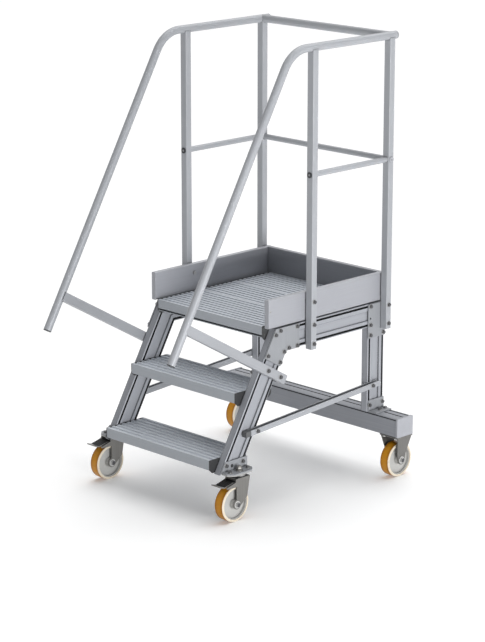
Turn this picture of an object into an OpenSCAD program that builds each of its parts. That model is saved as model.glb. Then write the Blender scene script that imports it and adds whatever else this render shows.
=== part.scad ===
// Mobile podium step: two ribbed treads and a guarded platform on slotted frame
// profiles, with swivelling braked castors in front and fixed castors behind.
// Millimetres, +Z up, +Y the climbing direction, origin on the floor at the middle.

/* [Overall] */
// Outer width over the side frames
frame_w = 580; // [480:5:760]
// Height from one walking face to the next
step_rise = 210; // [180:1:240]
// Slope of the stringers and handrails, degrees
slope = 60; // [50:1:70]
// Guard rail height above the platform
guard_h = 950; // [900:5:1100]
// Rear plane of the frame
rear_y = 524.5; // [400:0.5:700]

/* [Frame profile] */
// Width of the slotted profile
profile_w = 85; // [70:1:110]
// Thickness of the slotted profile
profile_t = 30; // [24:1:45]
// Corner radius of the profile
profile_round = 4; // [1:0.5:6]
// Wall thickness inside the profile
profile_wall = 3; // [2:0.5:4]
// Slot opening
slot_w = 8; // [6:0.5:10]
// Slot centre from the profile's edge
slot_inset = 8.5; // [7:0.5:14]
// Lip thickness over the slot
slot_lip = 3; // [2:0.5:5]
// Width of the chamber behind the slot
chamber_w = 12; // [9:0.5:18]
// Depth of the chamber behind the slot
chamber_d = 5; // [3:0.5:8]
// Width of the recessed middle panel
panel_w = 36; // [20:1:50]
// Depth of the recessed middle panel
panel_d = 5; // [2:0.5:7]
// Front edge of the stringers carried down to the floor
stringer_y = -387.5; // [-500:0.5:-300]
// Lower end of the stringers below the front castors' mounting face
foot_under = 5; // [1:0.5:8]

/* [Base beam] */
// Depth of the base beam
base_w = 80; // [60:1:120]
// Height of the base beam
base_h = 68; // [50:1:100]
// Length over the end caps
base_len = 866; // [700:2:1100]
// Thickness of the end caps
base_cap_t = 8; // [3:1:15]
// End caps past the beam's top and sides
base_cap_over = 1.5; // [0:0.5:4]
// Wall thickness
base_wall = 4; // [3:0.5:6]
// Groove opening
groove_w = 6; // [4:0.5:10]
// Groove depth
groove_d = 5; // [3:0.5:8]
// Distance between the top grooves
groove_pitch = 28; // [18:1:32]
// Width of the fine line along the upper edges
edge_line_w = 2; // [1:0.5:4]
// Depth of the fine line along the upper edges
edge_line_d = 1.5; // [0.5:0.5:3]
// Fine line below the top face
edge_line_down = 5; // [4.5:0.5:10]

/* [Treads] */
// Tread depth
tread_d = 174; // [140:1:220]
// Tread height
tread_h = 35; // [28:1:50]
// Wall thickness of treads and planks
plank_wall = 2.5; // [2:0.5:4]
// Rib spacing on treads and planks
rib_pitch = 23; // [12:1:40]
// Rib height
rib_h = 3; // [1:0.5:5]
// Part of the spacing that a rib takes
rib_share = 0.5; // [0.3:0.05:0.7]
// Thickness of the end caps
cap_t = 3; // [2:0.5:6]
// Depth of the end cap below its tread
cap_drop = 12; // [0:1:20]
// Sloped corner of the end cap
cap_slope = 13; // [5:1:25]

/* [Platform] */
// Front edge of the platform
deck_y = -62.5; // [-120:0.5:0]
// Seam behind the front plank
seam_front_y = 146.5; // [80:0.5:200]
// Seam in front of the rear plank
seam_rear_y = 315.5; // [240:0.5:400]
// Gap in a seam
seam_gap = 2; // [0.5:0.5:4]
// Plank height
deck_h = 40; // [30:1:60]
// Platform face above the side beams
deck_over = 10; // [4:1:20]
// Groove height in the front face
nose_groove_h = 6; // [2:0.5:10]
// Groove depth in the front face
nose_groove_d = 4; // [1:0.5:8]
// Toe board thickness
toe_t = 19; // [12:1:30]
// Toe board height
toe_h = 100; // [100:5:200]
// Gap below the toe boards
toe_gap = 5; // [2:1:15]
// Toe board edge radius
toe_round = 3; // [1:0.5:6]
// Bolt height above the platform in the toe boards
toe_bolt_z = 62; // [30:1:90]

/* [Guard rails] */
// Rail tube diameter
rail_d = 28; // [25:0.5:42]
// Tube wall
tube_wall = 2; // [1.5:0.5:4]
// Bend radius of the tube's middle
bend_r = 120; // [80:5:200]
// Swelling of the tube in the bend, on the radius
bend_swell = 0.05; // [0.04:0.01:0.2]
// Lap of the straight tube into the bend
bend_lap = 3; // [1:0.5:3]
// Corner of the handrail's middle line
rail_corner_y = 25.5; // [-60:0.5:120]
// Height of the handrail's lower end
rail_low_z = 598; // [400:1:800]
// Rear end of the handrail tube behind the frame
rail_behind = 14.5; // [3:0.5:60]
// Post depth along the climb
post_d = 25; // [20:1:40]
// Post corner radius
post_round = 2; // [1:0.5:5]
// Middle of the front posts
post_y = 127.5; // [90:0.5:220]
// Lower end of the posts
post_low_z = 524; // [480:1:560]
// Knee rail diameter
knee_d = 20; // [16:0.5:30]
// Knee rail height
knee_z = 1134; // [1000:1:1250]
// Thickness of the end plugs' heads
plug_t = 3; // [2:0.5:6]
// Length of the end plugs inside a tube
plug_in = 14; // [8:1:25]

/* [Brackets] */
// Thickness of the steel plates
plate_t = 4; // [3:0.5:6]
// Width of the handrail arms
arm_t = 30; // [20:1:40]
// Height of the handrail arms
arm_h = 32; // [20:1:40]
// Arms along the slope from the floor
arm_at = 573; // [450:1:650]
// Arms past the rear edge of the stringers
arm_past = 22; // [5:1:40]
// Width of the diagonal braces
brace_t = 20; // [16:1:40]
// Height of the diagonal braces
brace_h = 19; // [15:1:30]
// Wall of the diagonal braces
brace_wall = 2.5; // [2:0.5:4]
// Height of the braces at the stringer slot
brace_z = 286; // [240:1:330]
// Rise of the braces, degrees
brace_rise = 3.7; // [0:0.1:10]
// Brace past its front bolt
brace_front = 31; // [20:1:80]
// Brace past its rear bolt
brace_rear = 42; // [15:1:60]
// Head of the plugs in the front ends of the braces
brace_plug_t = 24; // [3:1:40]
// Gusset reach along the side beam
gusset_reach = 65; // [50:1:120]
// Gusset reach down the stringer
gusset_drop = 50; // [40:1:120]
// Heights of the gusset bolts in the front slot
gusset_front_z = [534, 600]; // [500:1:605]
// Heights of the gusset bolts in the rear slot
gusset_rear_z = [500, 534]; // [490:1:534]
// Gusset bolts in the upper beam slot
gusset_upper_y = [-9, 73]; // [-12:0.5:90]
// Gusset bolts in the lower beam slot
gusset_lower_y = [32, 73]; // [26:0.5:90]
// Rear corner plate reach below the side beam
corner_drop = 40; // [25:1:70]
// Rear corner plate reach up the side beam
corner_up = 84; // [40:1:85]
// Rear corner plate width
corner_w = 87; // [86:1:130]
// Corner plate's lower bolts below the side beam
corner_bolt_down = 29; // [10:1:34]
// Corner plate's spare hole above the lower face of the side beam
corner_hole_up = 32; // [25:1:50]
// Length of the angle at the foot of the rear leg
foot_len = 80; // [78:1:85]
// Height of the angle at the foot of the rear leg
foot_h = 42; // [25:1:60]
// Reach of the angle over the base beam
foot_reach = 42; // [30:1:60]
// Height of the foot angle's bolts above the base beam
foot_bolt_up = 25; // [15:1:40]
// Castor bracket height on the stringer
hanger_h = 37; // [30:1:70]
// Castor bracket bolts above its flange
hanger_bolt_up = 24; // [16:1:40]
// Cut corner of the castor brackets
hanger_cut = 20; // [5:1:25]

/* [Fasteners] */
// Bolt shank diameter
bolt_d = 7; // [5:0.5:8]
// Bolt head width
bolt_head_d = 13; // [10:0.5:16]
// Bolt head height
bolt_head_h = 5; // [3:0.5:8]
// Washer diameter
washer_d = 16; // [12:0.5:22]
// Washer thickness
washer_t = 1.5; // [1:0.25:3]
// Bolt reach into a slot
bolt_in = 6; // [4:0.5:7.5]

/* [Castors] */
// Wheel diameter
wheel_d = 125; // [100:5:160]
// Wheel width
wheel_w = 40; // [30:1:50]
// Front castors' mounting face above the top of the wheel
front_over = 40; // [38:1:60]
// Width of the front top plates
front_plate_w = 46; // [40:1:48]
// Length of the front top plates
front_plate_l = 120; // [110:1:140]
// Bolt spacing along the front top plates
front_bolt_l = 84; // [80:1:100]
// Rear castors' mounting face above the top of the wheel
rear_over = 30; // [28:1:60]
// Width of the rear top plates
castor_plate_w = 85; // [70:1:110]
// Bolt spacing across the rear top plates
castor_bolt_w = 60; // [50:1:80]
// Length of the rear top plates
rear_plate_l = 80; // [70:1:120]
// Bolt spacing along the rear top plates
rear_bolt_l = 60; // [50:1:90]
// Trail of the swivel castors
trail = 36; // [25:1:50]
// Front castor axis out from the side of the frame
front_out = 25; // [24:1:60]
// Front swivel axis
front_y = -228.5; // [-300:0.5:-150]
// Rear castor middle from the end of the base beam
rear_inset = 42; // [40:1:80]
// Fork sheet thickness
fork_t = 4; // [3:0.5:6]
// Rear fork leg width at the top
fork_w = 72; // [50:1:90]
// Front fork leg in front of the swivel axis
fork_front = 37; // [34:1:50]
// Front fork leg behind the swivel axis
fork_rear = 25; // [22:1:50]
// Lean of the front fork leg's rear edge
fork_lean = 13; // [0:1:20]
// Height of the rear edge's lower end above the axle
fork_knee = 20; // [10:1:40]
// Fork leg radius at the axle
fork_r = 17; // [12:0.5:24]
// Where the front fork leg's lower edge meets that radius
low_shares = [0.62, 0.7]; // [0.5:0.02:0.75]
// Space between wheel and fork leg
fork_gap = 3.5; // [2:0.5:8]
// Ball race diameter
race_d = 44; // [36:1:75]
// Ball race height
race_h = 7; // [4:0.5:12]
// Kingpin diameter
king_d = 12; // [8:0.5:20]
// Axle diameter
axle_d = 10; // [6:0.5:14]
// Axle head diameter
axle_head_d = 17; // [12:0.5:22]
// Axle head height
axle_head_h = 6; // [3:0.5:9]
// Axle washer diameter
axle_washer_d = 26; // [20:1:32]
// Hub diameter
hub_d = 32; // [24:1:50]
// Disc thickness of the wheel core
disc_t = 16; // [8:1:24]
// Rim inner diameter of the wheel core
rim_in_d = 103; // [60:1:108]
// Rim outer diameter below the tread ring
rim_d = 109; // [80:1:112]
// Sloped edge of the tread ring
tyre_bevel = 2.5; // [1:0.5:6]
// Pedal pivot in front of the swivel axis
pedal_y = 43.5; // [40:0.5:60]
// Pedal pivot below the mounting face
pedal_down = 28; // [25:1:32]
// Pedal from its pivot to the bend of its lip
pedal_l = 46; // [35:1:60]
// Pedal behind its pivot
pedal_back = 8; // [6:1:9]
// Top of the pedal above its pivot
pedal_up = 6; // [4:0.5:7]
// Pedal thickness
pedal_t = 4; // [3:0.5:5]
// Pedal slope at rest, degrees
pedal_slope = 10; // [0:1:15]
// Length of the pedal's lip
pedal_lip = 19; // [10:1:30]
// Rise of the lip from the pedal's face
pedal_lip_up = 9; // [4:1:15]
// Spacing of the grip ribs on the pedal
grip_pitch = 8; // [5:1:12]
// Height of the grip ribs
grip_h = 1; // [0.5:0.5:1.5]
// Space between pedal and fork leg
pedal_gap = 1; // [0.5:0.5:3]
// Fork arm beside the pedal, past the fork's front edge
horn_l = 46; // [20:1:60]
// Fork arm's height at its tip
horn_h = 6; // [4:1:12]
// Pedal barrel diameter
pedal_barrel_d = 12; // [10:0.5:18]
// Pedal pin diameter
pedal_pin_d = 6; // [4:0.5:9]

/* [Fits] */
// Running clearance on a radius
run_gap = 0.05; // [0.02:0.01:0.1]
// Seat clearance between fixed round pieces
seat_gap = 0.1; // [0.05:0.05:0.3]
// Bolt hole clearance on a radius
hole_gap = 0.5; // [0.2:0.1:1]
// Race clearance
race_gap = 0.5; // [0.3:0.1:1]
// Overrun of every cut
over = 1; // [0.5:0.5:5]
// Smoothness of round faces
$fn = 40; // [24:4:96]

/* [Hidden] */
deck_z = 3 * step_rise;
beam_top = deck_z - deck_over;
beam_low = beam_top - profile_w;
frame_x = frame_w / 2;
front_x = frame_x + front_out;
front_h = wheel_d + front_over;
castor_h = wheel_d + rear_over;
foot_z = front_h - foot_under;
inner_x = frame_x - profile_t;
slot_at = profile_w / 2 - slot_inset;
core_t = profile_t - 2 * panel_d - 2 * profile_wall;
core_w = panel_w - 2 * profile_wall;
land_low = panel_w / 2 + profile_wall;
land_high = slot_at - chamber_w / 2 - profile_wall;
web_t = profile_t - 2 * slot_lip - 2 * chamber_d - 2 * profile_wall;
lean = 90 - slope;
base_top = castor_h + base_h;
base_y = rear_y - base_w / 2;
leg_y = rear_y - profile_w / 2;
rail_r = rail_d / 2;
rail_rear_y = rear_y + rail_behind;
rail_x = frame_x + plate_t + rail_r;
rail_z = deck_z + guard_h - rail_r;
rear_post_y = rear_y - post_d / 2;
bend_run = bend_r * tan(slope / 2);
rail_low_y = rail_corner_y - (rail_z - rail_low_z) / tan(slope);
rail_len = (rail_z - rail_low_z) / sin(slope) - bend_run;
rail_off = (rail_low_y - stringer_y) * sin(slope) - rail_low_z * cos(slope);
arm_x = frame_x + arm_t / 2;
plate_x = frame_x + plate_t;
slot_lines = [slot_inset, profile_w - slot_inset];
brace_y = stringer_y + slot_lines[1] / sin(slope) + brace_z / tan(slope);
leg_slot_y = rear_y - profile_w + slot_inset;
brace_span = (leg_slot_y - brace_y) / cos(brace_rise);
tread_end = inner_x - cap_t;
wheel_r = wheel_d / 2;
fork_in = wheel_w / 2 + fork_gap;
fork_out = fork_in + fork_t;
crown_z = front_h - plate_t - race_h - race_gap;
pedal_w = 2 * fork_in - 2 * pedal_gap;
rear_x = base_len / 2 - rear_inset;
hub_w = 2 * fork_in - 2 * race_gap;
tread_tops = [step_rise, 2 * step_rise];
axle_y = front_y - trail;
bolt_hole = bolt_d / 2 + hole_gap;
beam_slots = [beam_low + slot_inset, beam_top - slot_inset];
leg_slots = [leg_slot_y, rear_y - slot_inset];
// Front and rear edge and slot lines of a stringer at a height
function front_edge(z) = stringer_y + z / tan(slope);
function slot_y(i, z) = front_edge(z) + slot_lines[i] / sin(slope);
function rear_edge(z) = front_edge(z) + profile_w / sin(slope);
// Bolt places on the side faces, along the climb and up
gusset_bolts = concat(
    [for (z = gusset_front_z) [slot_y(0, z), z]],
    [for (z = gusset_rear_z) [slot_y(1, z), z]],
    [for (y = gusset_upper_y) [y, beam_slots[1]]],
    [for (y = gusset_lower_y) [y, beam_slots[0]]]);
corner_bolts = concat([for (z = beam_slots) [leg_slot_y, z]],
    [for (y = leg_slots) [y, beam_low - corner_bolt_down]]);
hanger_bolt_z = front_h + hanger_bolt_up;
hanger_bolts = [for (i = [0, 1]) [slot_y(i, hanger_bolt_z), hanger_bolt_z]];
foot_bolts = [for (y = leg_slots) [y, base_top + foot_bolt_up]];
gusset_low = beam_low - gusset_drop;
foot_bolt_x = frame_x + plate_t + (foot_reach - plate_t) / 2;
// Piece to draw

module both_sides() {
    children();
    mirror([1, 0, 0]) children();
}

module rounded_rect(w, h, r) {
    square([w - 2 * r, h], center = true);
    square([w, h - 2 * r], center = true);
    for (i = [-1, 1], j = [-1, 1])
        translate([i * (w / 2 - r), j * (h / 2 - r)]) circle(r);
}

// Slotted profile, thickness along X and width along Y
module profile_section() {
    difference() {
        rounded_rect(profile_t, profile_w, profile_round);
        for (i = [-1, 1]) {
            translate([i * (profile_t / 2 + over / 2 - panel_d / 2), 0])
                square([panel_d + over, panel_w], center = true);
            for (j = [-1, 1]) {
                translate([i * (profile_t / 2 + over / 2 - slot_lip / 2), j * slot_at])
                    square([slot_lip + over, slot_w], center = true);
                translate([i * (profile_t / 2 - slot_lip - chamber_d / 2), j * slot_at])
                    square([chamber_d, chamber_w], center = true);
            }
        }
        square([core_t, core_w], center = true);
        for (j = [-1, 1]) {
            translate([0, j * (land_low + land_high) / 2])
                square([profile_t - 2 * profile_wall, land_high - land_low], center = true);
            translate([0, j * slot_at]) square([web_t, chamber_w - profile_wall], center = true);
        }
    }
}

// Frame of the right stringer: Z up the slope, Y square to it
module on_slope(x) {
    translate([x, stringer_y, 0]) rotate([-lean, 0, 0]) children();
}

// Lies along the climb with its section's Y standing up
module along_y() {
    rotate([-90, 0, 0]) children();
}

// Extrudes a section drawn in Y and Z along X, from one place to another
module along_x(from, to) {
    translate([from, 0, 0]) rotate([90, 0, 90]) linear_extrude(to - from) children();
}

// Everything on the stringer's or the beam's side of the mitre between them
module mitre_side(beam) {
    top = [front_edge(beam_top), beam_top];
    low = [rear_edge(beam_low), beam_low];
    run = low - top;
    far_y = beam ? rear_y + over : stringer_y - profile_w;
    along_x(inner_x - over, frame_x + over)
        polygon([top - run, low + run, [far_y, low[1] + run[1]], [far_y, top[1] - run[1]]]);
}

module stringer() {
    difference() {
        intersection() {
            on_slope(frame_x - profile_t / 2) translate([0, profile_w / 2, 0])
                linear_extrude(beam_top / sin(slope) + profile_w) profile_section();
            translate([inner_x - over, stringer_y, foot_z])
                cube([profile_t + 2 * over, rear_y - stringer_y, beam_top - foot_z]);
        }
        mitre_side(true);
    }
}

module stringer_left() {
    color("silver") mirror([1, 0, 0]) stringer();
}

module stringer_right() {
    color("silver") stringer();
}

module side_beam() {
    difference() {
        translate([frame_x - profile_t / 2, deck_y, beam_top - profile_w / 2]) along_y()
            linear_extrude(rear_y - deck_y) profile_section();
        mitre_side(false);
    }
}

module side_beam_left() {
    color("silver") mirror([1, 0, 0]) side_beam();
}

module side_beam_right() {
    color("silver") side_beam();
}

module rear_leg() {
    translate([frame_x - profile_t / 2, leg_y, base_top])
        linear_extrude(beam_low - base_top) profile_section();
}

module rear_leg_left() {
    color("silver") mirror([1, 0, 0]) rear_leg();
}

module rear_leg_right() {
    color("silver") rear_leg();
}

module base_section() {
    inner_w = base_w - 2 * base_wall;
    inner_h = base_h - 2 * base_wall - groove_d;
    difference() {
        rounded_rect(base_w, base_h, profile_round);
        for (i = [0, 1])
            translate([i * groove_pitch - groove_w / 2, base_h / 2 - groove_d])
                square([groove_w, groove_d + over]);
        for (i = [-1, 1])
            translate([i * (base_w / 2 + over / 2 - edge_line_d / 2), base_h / 2 - edge_line_down])
                square([edge_line_d + over, edge_line_w], center = true);
        for (i = [-1, 1])
            translate([i * (inner_w / 4 + base_wall / 4), -groove_d / 2])
                square([inner_w / 2 - base_wall / 2, inner_h], center = true);
    }
}

module base_beam() {
    color("silver") translate([0, base_y, castor_h + base_h / 2])
        along_x(base_cap_t - base_len / 2, base_len / 2 - base_cap_t) base_section();
}

module base_beam_caps() {
    color("gainsboro") both_sides() translate([0, base_y, castor_h + base_h / 2])
        along_x(base_len / 2 - base_cap_t, base_len / 2) translate([0, base_cap_over / 2])
            rounded_rect(base_w + 2 * base_cap_over, base_h + base_cap_over, profile_round);
}

// Ribbed hollow plank drawn in depth and height, front at 0 and top at 0
module plank_section(d, h) {
    rib_w = rib_pitch * rib_share;
    ribs = round((d - rib_w) / rib_pitch);
    pitch = (d - rib_w) / ribs;
    cells = ceil(d / (2 * h));
    cell = (d - plank_wall) / cells;
    difference() {
        translate([0, -h]) square([d, h]);
        for (i = [0 : ribs - 1])
            translate([i * pitch + rib_w, -rib_h]) square([pitch - rib_w, rib_h + over]);
        for (i = [0 : cells - 1])
            translate([i * cell + plank_wall, plank_wall - h])
                square([cell - plank_wall, h - rib_h - 2 * plank_wall]);
    }
}

// Middle of a tread over the stringers
function tread_y(top) = stringer_y + profile_w / 2 / sin(slope)
    + (top - tread_h / 2) / tan(slope) - tread_d / 2;

module tread(top) {
    translate([0, tread_y(top), top]) along_x(-tread_end, tread_end)
        plank_section(tread_d, tread_h);
}

module lower_tread() {
    color("silver") tread(tread_tops[0]);
}

module upper_tread() {
    color("silver") tread(tread_tops[1]);
}

// Closed end of a plank, deeper than the plank by the drop
module cap_outline(d, h, drop) {
    polygon([[0, 0], [d, 0], [d, -h], [d - cap_slope, -h - drop], [cap_slope, -h - drop], [0, -h]]);
}

module tread_caps() {
    color("dimgray") both_sides() for (top = tread_tops)
        translate([0, tread_y(top), top]) along_x(tread_end, inner_x)
            cap_outline(tread_d, tread_h, cap_drop);
}

module deck_plank(from, to) {
    translate([0, from, deck_z]) along_x(-tread_end, tread_end) plank_section(to - from, deck_h);
}

module deck_plank_front() {
    color("silver") difference() {
        deck_plank(deck_y, seam_front_y - seam_gap / 2);
        translate([-frame_x, deck_y - over, deck_z - deck_h + plank_wall])
            cube([frame_w, nose_groove_d + over, nose_groove_h]);
    }
}

module deck_plank_middle() {
    color("silver") deck_plank(seam_front_y + seam_gap / 2, seam_rear_y - seam_gap / 2);
}

module deck_plank_rear() {
    color("silver") deck_plank(seam_rear_y + seam_gap / 2, rear_y - toe_t);
}

module deck_caps() {
    color("dimgray") both_sides() {
        translate([0, deck_y, deck_z]) along_x(tread_end, inner_x)
            cap_outline(seam_front_y - seam_gap / 2 - deck_y, deck_h, cap_drop);
        translate([0, seam_front_y + seam_gap / 2, deck_z]) along_x(tread_end, inner_x)
            cap_outline(seam_rear_y - seam_front_y - seam_gap, deck_h, 0);
        translate([0, seam_rear_y + seam_gap / 2, deck_z]) along_x(tread_end, inner_x)
            cap_outline(rear_y - toe_t - seam_rear_y - seam_gap / 2, deck_h, 0);
    }
}

// Toe board along the right side, drilled for the front post's bolt
module toe_side() {
    difference() {
        translate([frame_x - toe_t / 2, deck_y, beam_top + toe_gap + toe_h / 2]) along_y()
            linear_extrude(rear_y - deck_y) rounded_rect(toe_t, toe_h, toe_round);
        translate([frame_x - toe_t - over, post_y, deck_z + toe_bolt_z]) rotate([0, 90, 0])
            cylinder(h = toe_t + 2 * over, r = bolt_hole);
    }
}

module toe_board_left() {
    color("silver") mirror([1, 0, 0]) toe_side();
}

module toe_board_right() {
    color("silver") toe_side();
}

module toe_board_rear() {
    color("silver") translate([0, rear_y - toe_t / 2, beam_top + toe_gap + toe_h / 2])
        along_x(toe_t - frame_x, frame_x - toe_t) rounded_rect(toe_t, toe_h, toe_round);
}

// Level top, bend and sloping grip of one radius, longer at both ends by the extra
module rail_path(r, extra) {
    top_len = rail_rear_y - rail_corner_y - bend_run;
    translate([bend_r, bend_lap, 0]) rotate([90, 0, 0])
        cylinder(h = top_len + bend_lap + extra, r = r);
    rotate_extrude(angle = slope) translate([bend_r, 0]) circle(r + bend_swell);
    rotate([0, 0, slope]) translate([bend_r, -bend_lap, 0]) rotate([-90, 0, 0])
        cylinder(h = rail_len + bend_lap + extra, r = r);
}

module handrail() {
    translate([rail_x, rail_corner_y + bend_run, rail_z - bend_r]) rotate([90, 0, 90])
        rotate([0, 0, 90]) difference() {
            rail_path(rail_r, 0);
            rail_path(rail_r - tube_wall, over);
        }
}

module handrail_left() {
    color("silver") mirror([1, 0, 0]) handrail();
}

module handrail_right() {
    color("silver") handrail();
}

module rear_top_rail() {
    color("silver") difference() {
        translate([-rail_x, rear_post_y, rail_z]) rotate([0, 90, 0])
            cylinder(h = 2 * rail_x, r = rail_r);
        translate([-rail_x - over, rear_post_y, rail_z]) rotate([0, 90, 0])
            cylinder(h = 2 * rail_x + 2 * over, r = rail_r - tube_wall);
        both_sides() translate([rail_x, rear_y - rail_d, rail_z]) along_y()
            cylinder(h = 2 * rail_d, r = rail_r + seat_gap);
    }
}

// Post with its head shaped to the rails
module post(y, bolts) {
    difference() {
        translate([rail_x, y, post_low_z]) linear_extrude(rail_z - rail_r / 2 - post_low_z)
            difference() {
                rounded_rect(rail_d, post_d, post_round);
                rounded_rect(rail_d - 2 * tube_wall, post_d - 2 * tube_wall, post_round / 2);
            }
        translate([rail_x, y - post_d, rail_z]) along_y()
            cylinder(h = 2 * post_d, r = rail_r + seat_gap);
        for (z = bolts)
            translate([rail_x - rail_d, y, z]) rotate([0, 90, 0])
                cylinder(h = 2 * rail_d, r = bolt_hole);
    }
}

module front_post() {
    difference() {
        post(post_y, concat(beam_slots, deck_z + toe_bolt_z));
        translate([rail_x, post_y - post_d, knee_z]) along_y()
            cylinder(h = 2 * post_d, r = knee_d / 2 + run_gap);
    }
}

module front_post_left() {
    color("silver") mirror([1, 0, 0]) front_post();
}

module front_post_right() {
    color("silver") front_post();
}

module rear_post() {
    difference() {
        post(rear_post_y, beam_slots);
        translate([rail_x - rail_d, rear_post_y, knee_z]) rotate([0, 90, 0])
            cylinder(h = 2 * rail_d, r = knee_d / 2 + run_gap);
        translate([rail_x - rail_d, rear_post_y, rail_z]) rotate([0, 90, 0])
            cylinder(h = rail_d, r = rail_r + seat_gap);
    }
}

module rear_post_left() {
    color("silver") mirror([1, 0, 0]) rear_post();
}

module rear_post_right() {
    color("silver") rear_post();
}

module tube(d, len) {
    difference() {
        cylinder(h = len, d = d);
        translate([0, 0, -over]) cylinder(h = len + 2 * over, d = d - 2 * tube_wall);
    }
}

module knee_side() {
    translate([rail_x, post_y - post_d / 2, knee_z]) along_y()
        tube(knee_d, rear_post_y - post_y);
}

module knee_rail_left() {
    color("silver") mirror([1, 0, 0]) knee_side();
}

module knee_rail_right() {
    color("silver") knee_side();
}

module knee_rail_rear() {
    color("silver") translate([-rail_x - rail_r, rear_post_y, knee_z]) rotate([0, 90, 0])
        tube(knee_d, 2 * rail_x + rail_d);
}

// End plug with its head below 0 and its spigot above
module plug(d) {
    translate([0, 0, -plug_t]) cylinder(h = plug_t, d = d);
    cylinder(h = plug_in, r = d / 2 - tube_wall - seat_gap);
}

module rail_plugs() {
    color("gray") both_sides() {
        translate([rail_x, rail_low_y, rail_low_z]) rotate([-lean, 0, 0]) plug(rail_d);
        translate([rail_x, rail_rear_y, rail_z]) rotate([90, 0, 0]) plug(rail_d);
        translate([rail_x, post_y - post_d / 2, knee_z]) along_y() plug(knee_d);
        translate([rail_x + rail_r, rear_post_y, knee_z]) rotate([0, -90, 0]) plug(knee_d);
    }
}

// Arm from the stringer out to the handrail, square to the slope
module handrail_arm() {
    difference() {
        on_slope(arm_x) translate([0, rail_off, arm_at]) along_y()
            linear_extrude(profile_w + arm_past - rail_off) difference() {
                rounded_rect(arm_t, arm_h, post_round);
                rounded_rect(arm_t - 2 * tube_wall, arm_h - 2 * tube_wall, post_round / 2);
            }
        translate([rail_x, rail_low_y, rail_low_z]) rotate([-lean, 0, 0])
            cylinder(h = rail_len, r = rail_r + seat_gap);
        on_slope(frame_x) for (v = slot_lines)
            translate([-over, v, arm_at]) rotate([0, 90, 0])
                cylinder(h = arm_t + 2 * over, r = bolt_hole);
    }
}

module handrail_arm_left() {
    color("silver") mirror([1, 0, 0]) handrail_arm();
}

module handrail_arm_right() {
    color("silver") handrail_arm();
}

// Holes through plates on the right side face
module face_holes(places) {
    for (q = places)
        translate([frame_x - over, q[0], q[1]]) rotate([0, 90, 0])
            cylinder(h = plate_t + 2 * over, r = bolt_hole);
}

module gusset_plates() {
    color("silver") both_sides() difference() {
        along_x(frame_x, plate_x) polygon([
            [front_edge(beam_top), beam_top],
            [rear_edge(beam_low) + gusset_reach, beam_top],
            [rear_edge(beam_low) + gusset_reach, beam_low],
            [rear_edge(beam_low), beam_low],
            [rear_edge(gusset_low), gusset_low],
            [rear_edge(gusset_low) - profile_w * sin(slope), gusset_low + profile_w * cos(slope)]]);
        face_holes(gusset_bolts);
    }
}

module corner_plates() {
    color("silver") both_sides() difference() {
        translate([frame_x, rear_y - corner_w, beam_low - corner_drop])
            cube([plate_t, corner_w, corner_drop + corner_up]);
        face_holes(concat(corner_bolts, [[leg_slot_y, beam_low + corner_hole_up]],
            [for (z = beam_slots) [rear_post_y, z]]));
    }
}

// Frame of the right brace: origin at its front bolt, Y along it
module on_brace() {
    translate([frame_x + brace_t / 2, brace_y, brace_z]) rotate([brace_rise, 0, 0]) children();
}

module brace() {
    difference() {
        on_brace() translate([0, -brace_front, 0]) along_y()
            linear_extrude(brace_front + brace_span + brace_rear) difference() {
                square([brace_t, brace_h], center = true);
                translate([brace_wall - brace_t / 2, -brace_h / 2 - over])
                    square([brace_t - 2 * brace_wall, brace_h - brace_wall + over]);
            }
        on_brace() for (v = [0, brace_span])
            translate([-brace_t, v, 0]) rotate([0, 90, 0])
                cylinder(h = 2 * brace_t, r = bolt_hole);
    }
}

module brace_left() {
    color("silver") mirror([1, 0, 0]) brace();
}

module brace_right() {
    color("silver") brace();
}

// Plug of a brace, its head past the end and its body between the walls
module brace_plug() {
    plug_w = brace_t - 2 * brace_wall - 2 * seat_gap;
    translate([-brace_t / 2, -brace_plug_t, -brace_h / 2]) cube([brace_t, brace_plug_t, brace_h]);
    translate([-plug_w / 2, 0, brace_wall - brace_h / 2])
        cube([plug_w, plug_in, brace_h - brace_wall]);
}

module brace_plugs() {
    color("dimgray") both_sides() on_brace() translate([0, -brace_front, 0]) brace_plug();
}

// Bolt places of a castor's top plate about its middle
module castor_bolt_places(w, l) {
    for (i = [-1, 1], j = [-1, 1]) translate([i * w / 2, j * l / 2, 0]) children();
}

// Outline of the front castors' plates from above, the outer corners cut
module front_plate_outline(from) {
    far_x = front_x + front_plate_w / 2;
    far_y = front_plate_l / 2;
    polygon([[from, front_y - far_y], [far_x - hanger_cut, front_y - far_y],
        [far_x, front_y - far_y + hanger_cut], [far_x, front_y + far_y - hanger_cut],
        [far_x - hanger_cut, front_y + far_y], [from, front_y + far_y]]);
}

// Bolt places of a front castor's top plate
module front_bolt_places() {
    for (j = [-1, 1]) translate([front_x, front_y + j * front_bolt_l / 2, 0]) children();
}

// Angle on the stringer's outer face with the castor below its flange
module castor_hangers() {
    top = front_h + hanger_h;
    rear = front_y + front_plate_l / 2;
    color("silver") both_sides() difference() {
        union() {
            translate([0, 0, front_h]) linear_extrude(plate_t) front_plate_outline(frame_x);
            along_x(frame_x, plate_x) polygon([[front_edge(front_h), front_h], [rear, front_h],
                [rear, top], [front_edge(top), top]]);
        }
        translate([0, 0, front_h - over]) {
            front_bolt_places() cylinder(h = plate_t + 2 * over, r = bolt_hole);
            translate([front_x, front_y, 0]) cylinder(h = plate_t + 2 * over, r = king_d + hole_gap);
        }
        face_holes(hanger_bolts);
    }
}

// Bolt places of the right foot angle's flange, over the base beam's grooves
module foot_flange_places() {
    for (y = [base_y, base_y + groove_pitch]) translate([foot_bolt_x, y, base_top]) children();
}

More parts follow.
